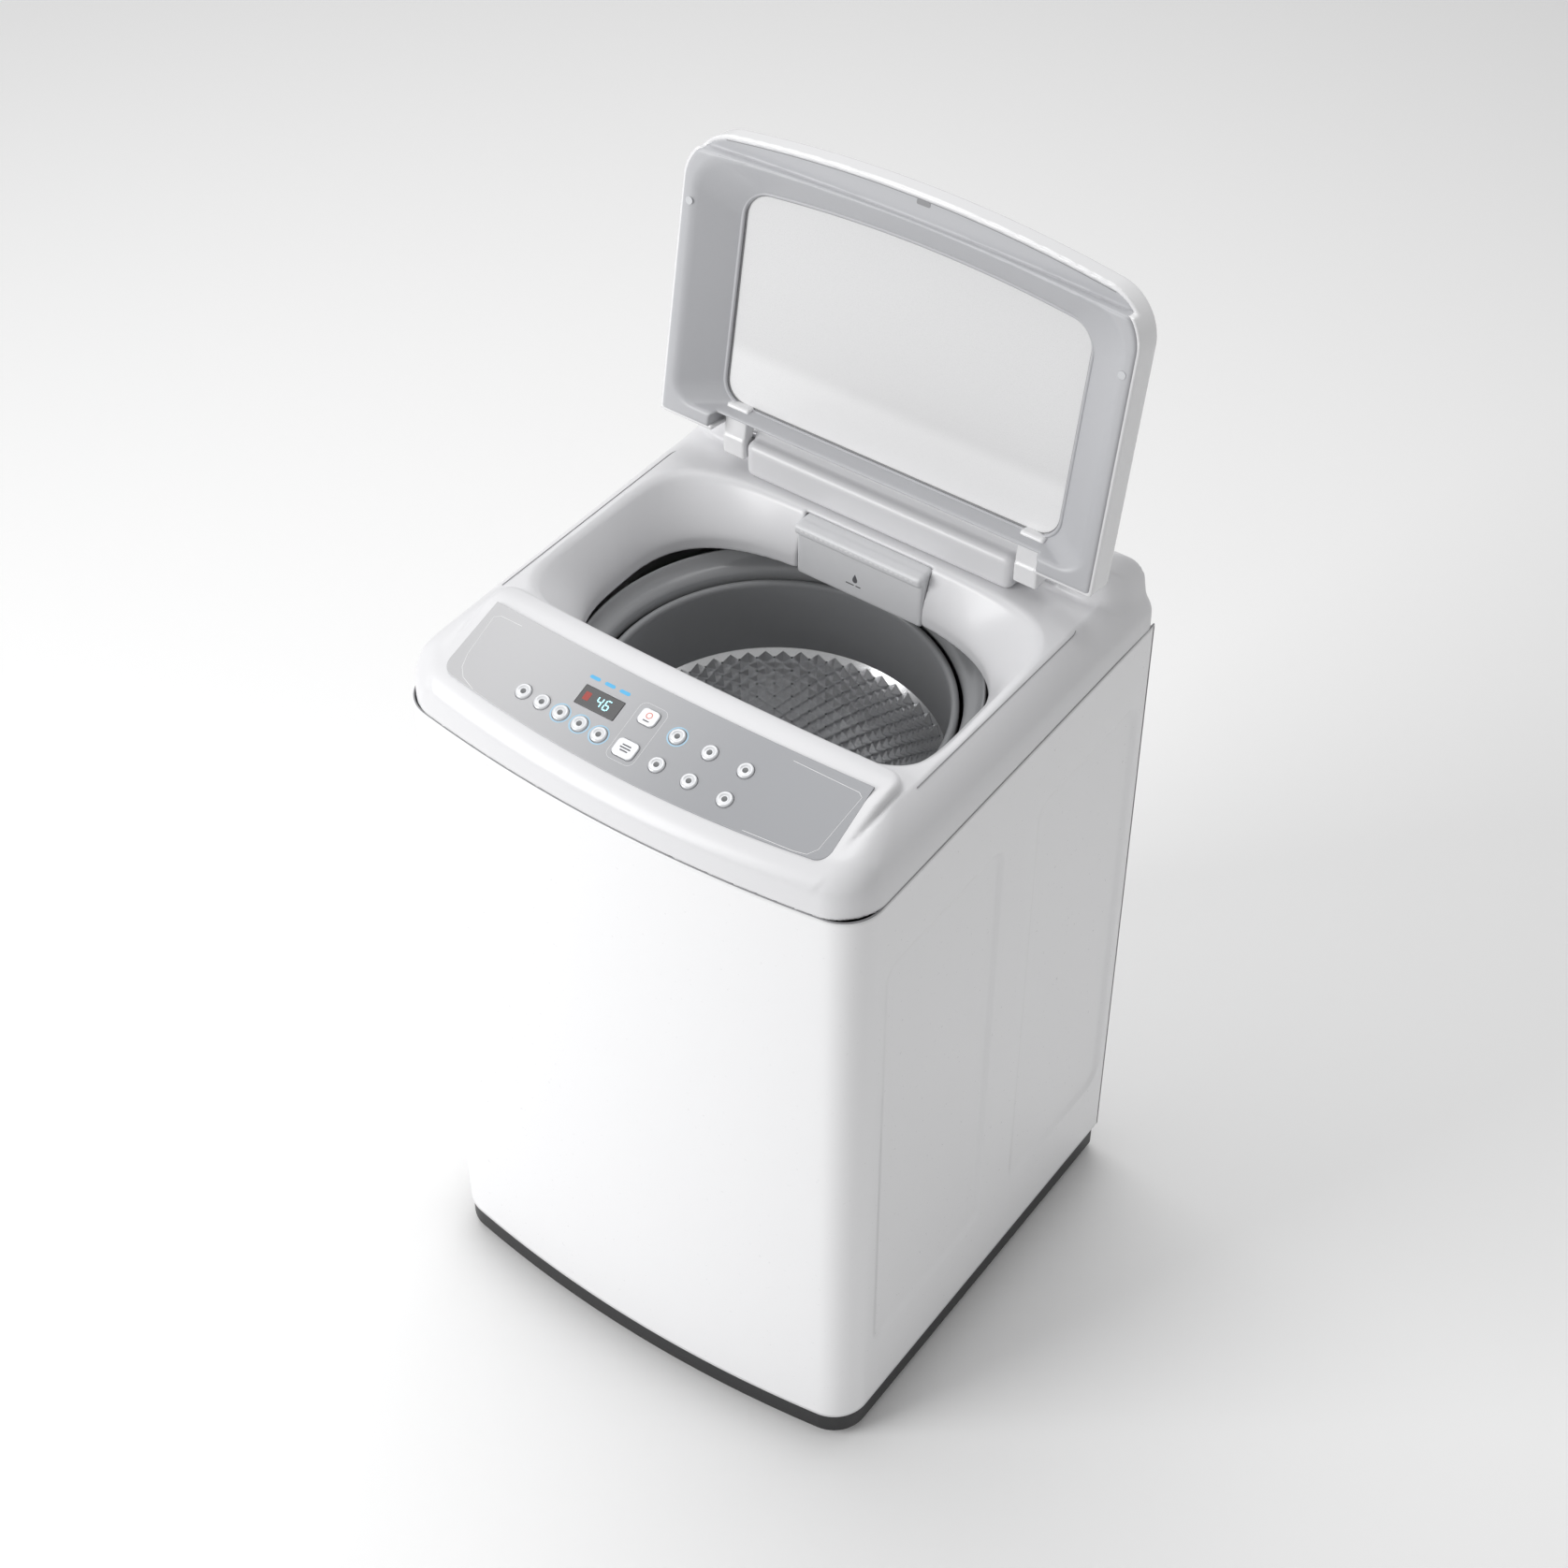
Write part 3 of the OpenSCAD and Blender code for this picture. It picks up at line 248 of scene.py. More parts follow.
# ---- Top cover: one white plastic moulding that carries the panel, the lid's seat and the well.
# Its surface is worked out as the place where a smooth blend of its shapes comes to zero, in millimetres.
def skin(name, field, low, high, cell, materials, body, node=None, place=None):
    """A closed piece whose surface is where field(x, y, z) is zero; it is solid where field is negative."""
    axes = [np.arange(a - cell, b + 2 * cell, cell) for a, b in zip(low, high)]
    grid = np.meshgrid(*axes, indexing="ij")
    value = field(*grid)
    inside = value < 0
    counts = [n - 1 for n in value.shape]
    corners = [(i, j, k) for i in (0, 1) for j in (0, 1) for k in (0, 1)]

    def shifted(array, c):
        return array[c[0]:c[0] + counts[0], c[1]:c[1] + counts[1], c[2]:c[2] + counts[2]]

    filled = sum(shifted(inside, c).astype(np.int8) for c in corners)
    mixed = (filled > 0) & (filled < 8)
    cells = np.argwhere(mixed)
    total = np.zeros((len(cells), 3))
    hits = np.zeros(len(cells))
    for a in corners:
        for axis in range(3):
            if a[axis]:
                continue
            b = tuple(c + (n == axis) for n, c in enumerate(a))
            fa = value[tuple((cells + a).T)]
            fb = value[tuple((cells + b).T)]
            crossed = (fa < 0) != (fb < 0)
            share = np.where(crossed, fa / np.where(crossed, fa - fb, 1), 0)
            point = cells + np.array(a) + share[:, None] * (np.array(b) - np.array(a))
            total += np.where(crossed[:, None], point, 0)
            hits += crossed
    points = total / hits[:, None] * cell + np.array([axis[0] for axis in axes])
    for _ in range(4):
        here = field(*points.T)
        slope = np.stack([(field(*(points + step).T) - field(*(points - step).T)) / (0.1 * cell)
                          for step in np.eye(3) * 0.05 * cell], 1)
        move = -here[:, None] * slope / np.maximum((slope ** 2).sum(1), 1e-6)[:, None]
        length = np.linalg.norm(move, axis=1)[:, None]
        points += move * np.minimum(1, 0.4 * cell / np.maximum(length, 1e-9))
    index = -np.ones(mixed.shape, int)
    index[mixed] = np.arange(len(cells))
    faces = []
    for axis in range(3):
        u, v = (axis + 1) % 3, (axis + 2) % 3
        first = [slice(None)] * 3
        second = [slice(None)] * 3
        first[axis], second[axis] = slice(0, -1), slice(1, None)
        start, end = inside[tuple(first)], inside[tuple(second)]
        for forward, edges in ((True, np.argwhere(start & ~end)), (False, np.argwhere(~start & end))):
            edges = edges[(edges[:, u] > 0) & (edges[:, v] > 0)]
            edges = edges[(edges[:, u] < mixed.shape[u]) & (edges[:, v] < mixed.shape[v])]
            quad = []
            for du, dv in ((1, 1), (0, 1), (0, 0), (1, 0)):
                at = edges.copy()
                at[:, u] -= du
                at[:, v] -= dv
                quad.append(index[tuple(at.T)])
            quad = np.stack(quad, 1)
            faces.append(quad if forward else quad[:, ::-1])
    faces = np.concatenate(faces)
    points = points / 1000
    if place is not None:
        points = points @ np.array(place.to_3x3()).T + np.array(place.translation)
    return solid(name, points.tolist(), faces.tolist(), materials, body, node)


def both(a, b, r):
    """What two shapes share, its edge rounded to radius r."""
    return np.minimum(-r, np.maximum(a, b)) + np.hypot(np.maximum(a + r, 0), np.maximum(b + r, 0))


def either(a, b, r):
    """Two shapes joined, with a fillet of radius r between them."""
    return -both(-a, -b, r)


def oval(x, y, wide, deep, power):
    """Roughly the distance outside an oval whose corners square up as power rises."""
    a, b = np.abs(x) / wide, np.abs(y) / deep
    reach = (a ** power + b ** power) ** (1 / power) + 1e-9
    slope = np.hypot((a / reach) ** (power - 1) / wide, (b / reach) ** (power - 1) / deep)
    return (reach - 1) / np.maximum(slope, 1e-6)


def slab(x, y, z, low, high, r=0.5):
    """A box with its edges rounded."""
    across = both(np.maximum(low[0] - x, x - high[0]), np.maximum(low[1] - y, y - high[1]), r)
    return both(across, np.maximum(low[2] - z, z - high[2]), r)


def body_edge(x, y):
    """Distance outside the cabinet's outline, in millimetres."""
    bow = np.hypot(x, y - 1000 * (front + bow_radius)) - 1000 * bow_radius
    return both(both(np.abs(x) - 1000 * half_wide, bow, 42), y - 1000 * rear, 12)


seam_mm = 1000 * seam
panel_slope = math.radians(18.6)
panel_back = 1000 * front + 120
panel_high = seam_mm + 78
hump_front = 1000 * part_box("hinge_cover")[1].y + 0.2
hump_top = seam_mm + 104
throat_centre = 15
panel_half = 222
panel_front = 104
panel_bow = 1433
panel_rear = 5.5
panel_rear_bow = 0.00011


def panel_height(x, y, z):
    """Height above the sloping panel, square to it."""
    return (z - panel_high) * math.cos(panel_slope) - (y - panel_back) * math.sin(panel_slope)


def down_panel(y, z):
    """Distance down the slope from the panel's rear edge."""
    return -(y - panel_back) * math.cos(panel_slope) - (z - panel_high) * math.sin(panel_slope)


def panel_edge(x, s, grow=0):
    """Distance outside the control panel's outline, with its bowed front and rear edges."""
    bow = np.hypot(x, s - panel_front + panel_bow) - panel_bow
    return both(both(np.abs(x) - panel_half, bow, 15), panel_rear - panel_rear_bow * x ** 2 - s, 4) - grow


def ledge_height(y):
    """Height of the ledge beside the well, just under the rim of the shut lid."""
    return seam_mm + 59.4 - 0.035 * y


def cover_field(x, y, z):
    across = np.abs(x)
    lean = 0.33 - 0.2 * smoothstep(190, 262, y)
    rise = z - seam_mm - 27
    wall = body_edge(x, y) + lean * 0.5 * (rise + np.sqrt(rise ** 2 + 120))
    slope = panel_height(x, y, z)
    ridge = z - (panel_high + 0.6) + 0.12 * (y - panel_back)
    ridge_back = y - panel_back - 28 - 0.00012 * x ** 2
    ridge = both(both(slope, ridge, 9), both(ridge_back, across - 234, 20), 6)
    ledge = z - (ledge_height(y) - 0.4 * np.maximum(across - 242, -3))
    hump = both(both(z - hump_top, hump_front - y, 7), wall, 44)
    behind = either(both(ledge, slope + 6, 14), ridge, 4)
    block = either(np.minimum(both(ledge, slope, 14), behind), hump, 5)
    block = both(block, wall, 20)
    block = np.maximum(block, seam_mm + 0.6 - z)
    throat = oval(x, y - throat_centre, 204.5, 130, 3)
    lip = both(throat - 6, np.maximum(seam_mm - 10 - z, z - seam_mm - 10), 1)
    up = np.clip((z - seam_mm - 3) / 62, 0, 1)
    open_up = up ** 1.5
    well = oval(x, y - throat_centre - 9 * open_up, 204.5 + 33.5 * open_up, 130 + 11 * open_up, 3 + 3 * open_up)
    block = both(np.minimum(block, lip), -well, 2 + 5 * up)
    s = down_panel(y, z)
    pocket = np.maximum(panel_edge(x, s, -5), -30 - panel_height(x, y, z))
    block = np.maximum(block, -pocket)
    drawer_way = slab(x, y, z, (-76.5, 90, seam_mm - 15.5), (76.5, 246, seam_mm + 50.5))
    arms = slab(across, y, z, (158, 165, seam_mm + 56), (191, 216, seam_mm + 140))
    inlet = np.maximum(np.hypot(x - 180, z - seam_mm - 45) - 24, 241 - y)
    return np.maximum(np.maximum(block, -drawer_way), np.maximum(-arms, -inlet))


white_plastic = finish("white_cover_plastic", (0.74, 0.74, 0.755), 0.33, 1400, 0.05, coat=0.1)
cover_cell = 2.5
skin("cover_moulding", cover_field, (-270, -270, seam_mm - 12), (270, 270, hump_top), cover_cell,
     [white_plastic], "casing", "top_cover")


# ---- Control panel: a printed silver film on a stiff plate, let in flush with the sloping cover,
# with holes for the keys and the display, a thin inset line, and printed marks beside the keys.
on_panel = Matrix.Translation((0, panel_back / 1000, panel_high / 1000)) @ Matrix.Rotation(panel_slope, 4, "X")


def rounded(wide, deep, r, centre=(0, 0), steps=6):
    """An outline with round corners, in millimetres."""
    points = []
    for turn, (sx, sy) in enumerate(((1, 1), (-1, 1), (-1, -1), (1, -1))):
        for i in range(steps + 1):
            a = math.pi / 2 * (turn + i / steps)
            points.append((centre[0] + sx * (wide - r) + r * math.cos(a),
                           centre[1] + sy * (deep - r) + r * math.sin(a)))
    return points


def disc(r, centre=(0, 0), steps=40):
    return [(centre[0] + r * math.cos(2 * math.pi * i / steps), centre[1] + r * math.sin(2 * math.pi * i / steps))
            for i in range(steps)]


def plate(name, loops, low, high, bevel, material, body, node=None, place=on_panel):
    """A flat piece cut to its outline, with holes for the loops inside it, from height low to high."""
    curve = bpy.data.curves.new(name, "CURVE")
    curve.dimensions = "2D"
    curve.fill_mode = "BOTH"
    for points in loops:
        spline = curve.splines.new("POLY")
        spline.points.add(len(points) - 1)
        for point, (x, y) in zip(spline.points, points):
            point.co = (x / 1000, y / 1000, 0, 1)
        spline.use_cyclic_u = True
    curve.extrude = (high - low) / 2000 - bevel / 1000
    curve.bevel_depth = bevel / 1000
    curve.bevel_resolution = 1
    curve.offset = -bevel / 1000
    shape = bpy.data.objects.new(name, curve)
    bpy.context.scene.collection.objects.link(shape)
    mesh = bpy.data.meshes.new_from_object(shape.evaluated_get(bpy.context.evaluated_depsgraph_get()))
    bpy.data.objects.remove(shape)
    mesh.transform(place @ Matrix.Translation((0, 0, (high + low) / 2000)))
    mesh.materials.clear()
    mesh.materials.append(material)
    piece = bpy.data.objects.new(name, mesh)
    bpy.context.scene.collection.objects.link(piece)
    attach(piece, body)
    if node:
        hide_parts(node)
    return piece


def panel_outline(grow=0, steps=48):
    """The film's outline: a bowed front edge, a slightly bowed rear edge and round corners."""
    half = panel_half + grow

    def front_edge(x):
        return -(panel_front - panel_bow + math.sqrt(panel_bow ** 2 - x ** 2)) - grow

    def rear_edge(x):
        return -(panel_rear - panel_rear_bow * x ** 2) + grow

    top = [(half - 3 - 2 * (half - 3) * i / steps, rear_edge(half - 3 - 2 * (half - 3) * i / steps))
           for i in range(steps + 1)]
    r = 15
    left_x = -half + r
    base = front_edge(left_x)
    corner_left = [(left_x - r * math.sin(a), base + r - r * math.cos(a)) for a in
                   [math.radians(90 - 10 * i) for i in range(9)]]
    bottom = [(left_x + 2 * (half - r) * i / steps, front_edge(left_x + 2 * (half - r) * i / steps))
              for i in range(steps + 1)]
    corner_right = [(-x, y) for x, y in reversed(corner_left)]
    return top + corner_left + bottom + corner_right


film, film_nodes, film_links, film_shader = blank_material("silver_panel_film")
film_place = film_nodes.new("ShaderNodeTexCoord")
film_axis = film_nodes.new("ShaderNodeSeparateXYZ")
film_links.new(film_place.outputs["Object"], film_axis.inputs["Vector"])
# Painted shade: the film's silver darkens along X from left to right, standing for the light falling off across the
# panel.
film_painted_shade = film_nodes.new("ShaderNodeMapRange")
film_painted_shade.inputs["From Min"].default_value = -0.2
film_painted_shade.inputs["From Max"].default_value = 0.12
film_painted_shade.interpolation_type = "SMOOTHSTEP"
film_links.new(film_axis.outputs["X"], film_painted_shade.inputs["Value"])
film_shaded_tone = film_nodes.new("ShaderNodeMix")
film_shaded_tone.data_type = "RGBA"
film_shaded_tone.inputs["A"].default_value = (0.5, 0.5, 0.51, 1)
film_shaded_tone.inputs["B"].default_value = (0.3, 0.305, 0.32, 1)
film_links.new(film_painted_shade.outputs["Result"], film_shaded_tone.inputs["Factor"])
film_links.new(film_shaded_tone.outputs["Result"], film_shader.inputs["Base Color"])
film_flake = film_nodes.new("ShaderNodeTexNoise")
film_flake.inputs["Scale"].default_value = 2600
film_links.new(film_place.outputs["Object"], film_flake.inputs["Vector"])
film_gloss = film_nodes.new("ShaderNodeMapRange")
film_gloss.inputs["To Min"].default_value = 0.3
film_gloss.inputs["To Max"].default_value = 0.46
film_links.new(film_flake.outputs["Fac"], film_gloss.inputs["Value"])
film_links.new(film_gloss.outputs["Result"], film_shader.inputs["Roughness"])
film_shader.inputs["Metallic"].default_value = 0.25

option_places = list(zip((-134, -111, -88, -64.5, -41), (70.5, 71.8, 73, 74.3, 75.3)))
program_places = [(x, s) for s in (42, 76) for x in (27, 64, 104.5)]
power_place, start_place = (-9, 38), (-9, 76)
display_place = (-61, 46)
holes = [disc(8.6, (x, -s)) for x, s in option_places + program_places]
holes += [rounded(10.4, 8.9, 5.4, (power_place[0], -power_place[1])),
          rounded(12.4, 9.9, 5.4, (start_place[0], -start_place[1])),
          rounded(23.1, 11.1, 1, (display_place[0], -display_place[1]))]
plate("panel_film", [panel_outline()] + holes, -1.9, 0.2, 0.25, film, "casing", "control_panel")

white_print = finish("white_print", (0.8, 0.8, 0.81), 0.4, 900, 0.0)
dark_print = finish("dark_grey_print", (0.13, 0.13, 0.14), 0.5, 900, 0.0)
blue_print = finish("blue_print", (0.10, 0.46, 0.78), 0.4, 900, 0.0)
pale_blue_print = finish("pale_blue_print", (0.36, 0.58, 0.74), 0.4, 900, 0.0)
printed = 0.16
line_left = [(-180, -12), (-205, -12.2), (-211.5, -16), (-209, -62), (-205, -76), (-197, -85), (-180, -91.5)]
line_right = [(138, -12.2), (210, -11.5), (215, -15), (209.5, -78), (203, -87), (190, -90), (137, -94.5)]


def stroke(name, points, width, height, material, body, place=on_panel, closed=False):
    """A thin printed or moulded line along its points, in millimetres."""
    curve = bpy.data.curves.new(name, "CURVE")
    curve.dimensions = "3D"
    spline = curve.splines.new("POLY")
    spline.points.add(len(points) - 1)
    for point, at in zip(spline.points, points):
        point.co = (at[0] / 1000, at[1] / 1000, (at[2] if len(at) > 2 else height) / 1000, 1)
    spline.use_cyclic_u = closed
    curve.bevel_depth = width / 2000
    curve.bevel_resolution = 2
    shape = bpy.data.objects.new(name, curve)
    bpy.context.scene.collection.objects.link(shape)
    mesh = bpy.data.meshes.new_from_object(shape.evaluated_get(bpy.context.evaluated_depsgraph_get()))
    bpy.data.objects.remove(shape)
    mesh.transform(place)
    mesh.materials.clear()
    mesh.materials.append(material)
    mesh.shade_smooth()
    piece = bpy.data.objects.new(name, mesh)
    bpy.context.scene.collection.objects.link(piece)
    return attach(piece, body)


stroke("panel_line_left", line_left, 0.7, 0.02, white_print, "casing")
stroke("panel_line_right", line_right, 0.7, 0.02, white_print, "casing")
stroke("panel_line_keys", rounded(15.5, 33, 7, (-9, -57.5)), 0.5, 0.0, white_print, "casing", closed=True)
marks = []
for i, (x, s) in enumerate(option_places):
    marks += [rounded(w, 0.7, 0.6, (x - 1, -s - 12.5 - 2.4 * n), 2) for n, w in enumerate((4.2, 3) if i < 2 else (4,))]
for x, s in program_places:
    marks += [rounded(5.4, 0.8, 0.7, (x, -s - 12.8), 2), rounded(0.8, 0.8, 0.7, (x, -s + 11.6), 2)]
for n in range(5):
    marks += [rounded(0.7, 0.7, 0.6, (-133.5 + 0.4 * n, -24 - 7 * n), 2)]
for n in range(3):
    marks += [rounded(3.2, 0.6, 0.5, (-117, -39 - 6 * n), 2)]
plate("panel_marks", marks, 0.05, printed, 0.02, dark_print, "casing")
plate("panel_dots", [disc(0.9, (-140 + 0.6 * n, -31 - 6.5 * n), 12) for n in range(4)], 0.05, printed, 0.02,
      blue_print, "casing")
plate("panel_pills", [rounded(6, 1.9, 1.8, (x, -26)) for x in (-80.5, -63, -45.5)], 0.05, printed + 0.1, 0.05,
      blue_print, "casing")
for n, (x, s) in enumerate(option_places[2:] + program_places[:1]):
    plate(f"blue_ring_{n + 1}", [disc(10.6, (x, -s)), disc(9.2, (x, -s))], 0.05, printed + 0.05, 0.03,
          pale_blue_print, "casing")
for n, (x, s) in enumerate(option_places[:2] + program_places[1:]):
    plate(f"grey_ring_{n + 1}", [disc(10.1, (x, -s)), disc(9.4, (x, -s))], 0.05, printed, 0.02, white_print, "casing")


# ---- Seam and joints: a grey line painted into the seam between the cover and the cabinet is painted shade for the shadow in that gap,
# and on each side a grey line along the fine joint that parts the rim of the well from the ledge beside it is painted
# shade too.
level = Matrix.Identity(4)
# Painted shade: a mid grey for the thin lines drawn where the seam and the joints fall into shadow.
seam_painted_shade = finish("grey_painted_seam_shade", (0.3, 0.3, 0.31), 0.8, 900, 0.2)
seam_shade_path = [(1000 * x, 1000 * y) for x, y in half_outline(0.0012)]
stroke("seam_shade_line", [(-x, y) for x, y in reversed(seam_shade_path[1:])] + seam_shade_path, 1.9, seam_mm, seam_painted_shade, "casing", level)
for side, name in ((-1, "left"), (1, "right")):
    joint = [(side * (242.6 - 14 * max(0, (y - 152) / 24) ** 2), y, ledge_height(y) + 0.1)
             for y in range(-116, 177, 4)]
    stroke("well_joint_shade_" + name, joint, 0.9, 0, seam_painted_shade, "casing", level)


# ---- Display: a black window clipped into the panel, with two lit numerals and a dim lamp behind it.
# Each numeral is built from the bars of a seven-segment lamp.
glass_black = finish("black_display_window", (0.008, 0.008, 0.01), 0.12, 300, 0.0, coat=0.5, spread=0.02)
plate("display_window_black", [rounded(22.8, 10.8, 1.2, (display_place[0], -display_place[1]))], -1.9, 0.35, 0.3,
      glass_black, "casing", "display_window")


def glow(name, colour, strength):
    material, nodes, links, shader = blank_material(name)
    shader.inputs["Base Color"].default_value = (*[c * 0.6 for c in colour], 1)
    shader.inputs["Emission Color"].default_value = (*colour, 1)
    shader.inputs["Emission Strength"].default_value = strength
    ripple = nodes.new("ShaderNodeTexNoise")
    ripple.inputs["Scale"].default_value = 2000
    relief = nodes.new("ShaderNodeBump")
    relief.inputs["Strength"].default_value = 0.05
    links.new(ripple.outputs["Fac"], relief.inputs["Height"])
    links.new(relief.outputs["Normal"], shader.inputs["Normal"])
    return material


cyan_lamp = glow("cyan_lamp", (0.45, 0.9, 1.0), 1.1)
red_lamp = glow("red_lamp", (0.35, 0.06, 0.05), 0.5)
segments = {"4": "bcfg", "6": "acdefg"}
bars = {"a": (0, 5.2, 0), "g": (0, 0, 0), "d": (0, -5.2, 0), "f": (-2.6, 2.6, 1), "b": (2.6, 2.6, 1),
        "e": (-2.6, -2.6, 1), "c": (2.6, -2.6, 1)}
lit = []
for place, digit in ((-61.5, "4"), (-52.5, "6")):
    for key in segments[digit]:
        x, y, upright = bars[key]
        size = (0.65, 2.2) if upright else (2.2, 0.65)
        lit.append(rounded(*size, 0.5, (place + x + 0.09 * y, -display_place[1] + y), 2))
plate("display_numerals", lit, 0.3, 0.5, 0.05, cyan_lamp, "casing")
plate("display_lamp", [rounded(3.4, 4.6, 1, (-76, -46))], 0.3, 0.45, 0.04, red_lamp, "casing")
dress(finish("circuit_board_lacquer", (0.03, 0.14, 0.06), 0.4, 300, 0.1), "control_board")


# ---- Keys: eleven round keys turned as satin domes with a dark centre, and two square rocker keys
# for power and start. Each one slides through its own hole and springs back.
key_plastic = finish("satin_key_plastic", (0.74, 0.75, 0.77), 0.24, 900, 0.02, metallic=0.15, coat=0.3)
key_centre = finish("dark_key_centre", (0.16, 0.165, 0.17), 0.35, 900, 0.03)


def turned(profile, segments, centre=(0, 0), turn=(0, 2 * math.pi)):
    """Points and faces of a profile of (radius, height) turned about Z, in millimetres."""
    whole = turn[1] - turn[0] > 6.28
    steps = segments if whole else segments + 1
    verts = [(centre[0] + r * math.cos(turn[0] + (turn[1] - turn[0]) * i / segments),
              centre[1] + r * math.sin(turn[0] + (turn[1] - turn[0]) * i / segments), z)
             for i in range(steps) for r, z in profile]
    n = len(profile)
    faces = [(i * n + j, ((i + 1) % steps) * n + j, ((i + 1) % steps) * n + j + 1, i * n + j + 1)
             for i in range(segments) for j in range(n - 1)]
    return verts, faces


def moved(verts, place):
    return [tuple(place @ Vector((x / 1000, y / 1000, z / 1000))) for x, y, z in verts]


dome = [(8.2, -6.4), (8.2, 0.6), (8.05, 1.3), (7.6, 1.9), (6.9, 2.3), (6.0, 2.38), (5.2, 2.2), (4.5, 1.85),
        (3.6, 1.62), (2.9, 1.6), (2.6, 1.75), (1.9, 1.95), (1, 2.05), (0.01, 2.1)]


def round_key(node, x, s):
    verts, faces = turned(dome, 40, (x, -s))
    key = solid(node + "_cap", moved(verts, on_panel), faces, [key_plastic, key_centre], node + "_body", node)
    for face, polygon in enumerate(key.data.polygons):
        polygon.material_index = int(face % (len(dome) - 1) >= 9)


for n, (x, s) in enumerate(option_places):
    round_key(f"button_option_{n + 1}", x, s)
for n, (x, s) in enumerate(program_places):
    round_key(f"button_program_{n + 1}", x, s)
red_print = finish("red_print", (0.75, 0.22, 0.16), 0.4, 900, 0.0)
for node, (x, s), wide, deep in (("button_power", power_place, 10, 8.5), ("button_start", start_place, 12, 9.5)):
    plate(node + "_cap", [rounded(wide, deep, 5, (x, -s), 8)], -6.4, 2.0, 0.9, key_plastic, node + "_body", node)
power_ring = (power_place[0], -power_place[1] + 1.5)
plate("power_mark", [disc(3.4, power_ring), disc(2.5, power_ring)], 1.95, 2.1, 0.02, red_print, "button_power_body")
plate("power_bar", [rounded(3.6, 0.6, 0.5, (power_place[0], -power_place[1] - 4.6), 2)], 1.95, 2.1, 0.02, dark_print,
      "button_power_body")
start_bars = [rounded(w, 0.7, 0.6, (start_place[0], -start_place[1] + y), 2) for w, y in ((5, 3), (6, 0), (4.4, -3))]
plate("start_bars", start_bars, 1.95, 2.1, 0.02, dark_print, "button_start_body")


# ---- Tub, balance ring and basket: under the well lies a grey plastic ring that closes the tub.
# The basket is rolled stainless sheet, embossed with pyramids between its drain holes,
# under a balance ring.
ring_plastic = finish("grey_tub_ring_plastic", (0.33, 0.335, 0.345), 0.25, 700, 0.03, coat=0.4)
balance_plastic = finish("dark_balance_ring_plastic", (0.3, 0.305, 0.315), 0.32, 700, 0.04)
ring_z = 1000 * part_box("balance_ring")[1].z
ring_low = 1000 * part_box("balance_ring")[0].z
basket_low = 1000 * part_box("basket")[0].z
tub_ring = [(186, -6), (186, 0), (186.6, 4), (188.4, 7.6), (191, 9.8), (194.4, 11.2), (198, 13), (201, 16),
            (203.2, 20), (204.6, 23), (206, 23.6), (207.4, 22), (208, 16), (208, -6)]
verts, faces = turned([(r, z + ring_z) for r, z in tub_ring], 160)
solid("tub_ring", moved(verts, level), faces, [ring_plastic], "casing", "tub_cover")
ring_height = ring_z - ring_low
balance = [(176, 0), (175.6, 30), (174.6, ring_height - 22), (173.6, ring_height - 6), (174, ring_height - 2.6),
           (175.6, ring_height - 0.6), (177.6, 0.02 + ring_height), (180, ring_height - 0.7),
           (181.6, ring_height - 2.8), (182, ring_height - 6), (182, 0), (176, 0)]
verts, faces = turned([(r, z + ring_low) for r, z in balance], 160)
solid("balance_ring_moulding", moved(verts, level), faces, [balance_plastic], "spin_basket", "balance_ring")

stainless = finish("pressed_stainless", (0.86, 0.865, 0.875), 0.24, 900, 0.03, metallic=0.8)
basket_radius = 178
columns = 60
pitch = 2 * math.pi / columns
row_height = 9.2
embossed_low = basket_low + 30
embossed_rows = int((ring_low - embossed_low) / row_height)
tip = 0.12
boss_depth = 6.5
drain_hole = 1.7


def on_wall(column, row, depth):
    a = pitch * column / 2
    r = basket_radius - 0.5 - depth
    return (r * math.cos(a), r * math.sin(a), embossed_low + row_height * row)


verts, faces = [], []
for row in range(embossed_rows - 1):
    for column in range(columns):
        c = 2 * column + row % 2
        n = len(verts)
        verts += [on_wall(c - 1, row + 1, 0), on_wall(c, row, 0), on_wall(c + 1, row + 1, 0), on_wall(c, row + 2, 0)]
        verts += [on_wall(c + tip * dx, row + 1 + tip * dy, boss_depth)
                  for dx, dy in ((-1, 0), (0, -1), (1, 0), (0, 1))]
        faces += [(n + k, n + 4 + k, n + 4 + (k + 1) % 4, n + (k + 1) % 4) for k in range(4)]
        faces.append((n + 7, n + 6, n + 5, n + 4))
solid("basket_embossing", moved(verts, level), faces, [stainless], "spin_basket", smooth=False)
basket_out = basket_radius + 1
wall = [(basket_out, basket_low), (basket_out, ring_low + 8), (basket_radius, ring_low + 8),
        (basket_radius, basket_low), (basket_out, basket_low)]
verts, faces = turned(wall, 180)
solid("basket_wall", moved(verts, level), faces, [stainless], "spin_basket", "basket")
hole_dark = finish("shadowed_hole", (0.01, 0.01, 0.01), 0.8, 500, 0.0)
verts, faces = [], []
for row in range(0, embossed_rows, 2):
    for column in range(columns):
        centre = on_wall(2 * column, row, 0.25)
        a = pitch * column
        n = len(verts)
        verts += [(centre[0] - math.sin(a) * drain_hole * math.cos(t),
                   centre[1] + math.cos(a) * drain_hole * math.cos(t),
                   centre[2] + drain_hole * math.sin(t)) for t in np.linspace(0, 2 * math.pi, 9)[:-1]]
        faces.append(tuple(range(n + 7, n - 1, -1)))
solid("basket_holes", moved(verts, level), faces, [hole_dark], "spin_basket", smooth=False)
pale_plastic = finish("pale_grey_plastic", (0.62, 0.63, 0.65), 0.35, 900, 0.05)
grey_plastic = finish("mid_grey_plastic", (0.3, 0.305, 0.31), 0.4, 700, 0.1)
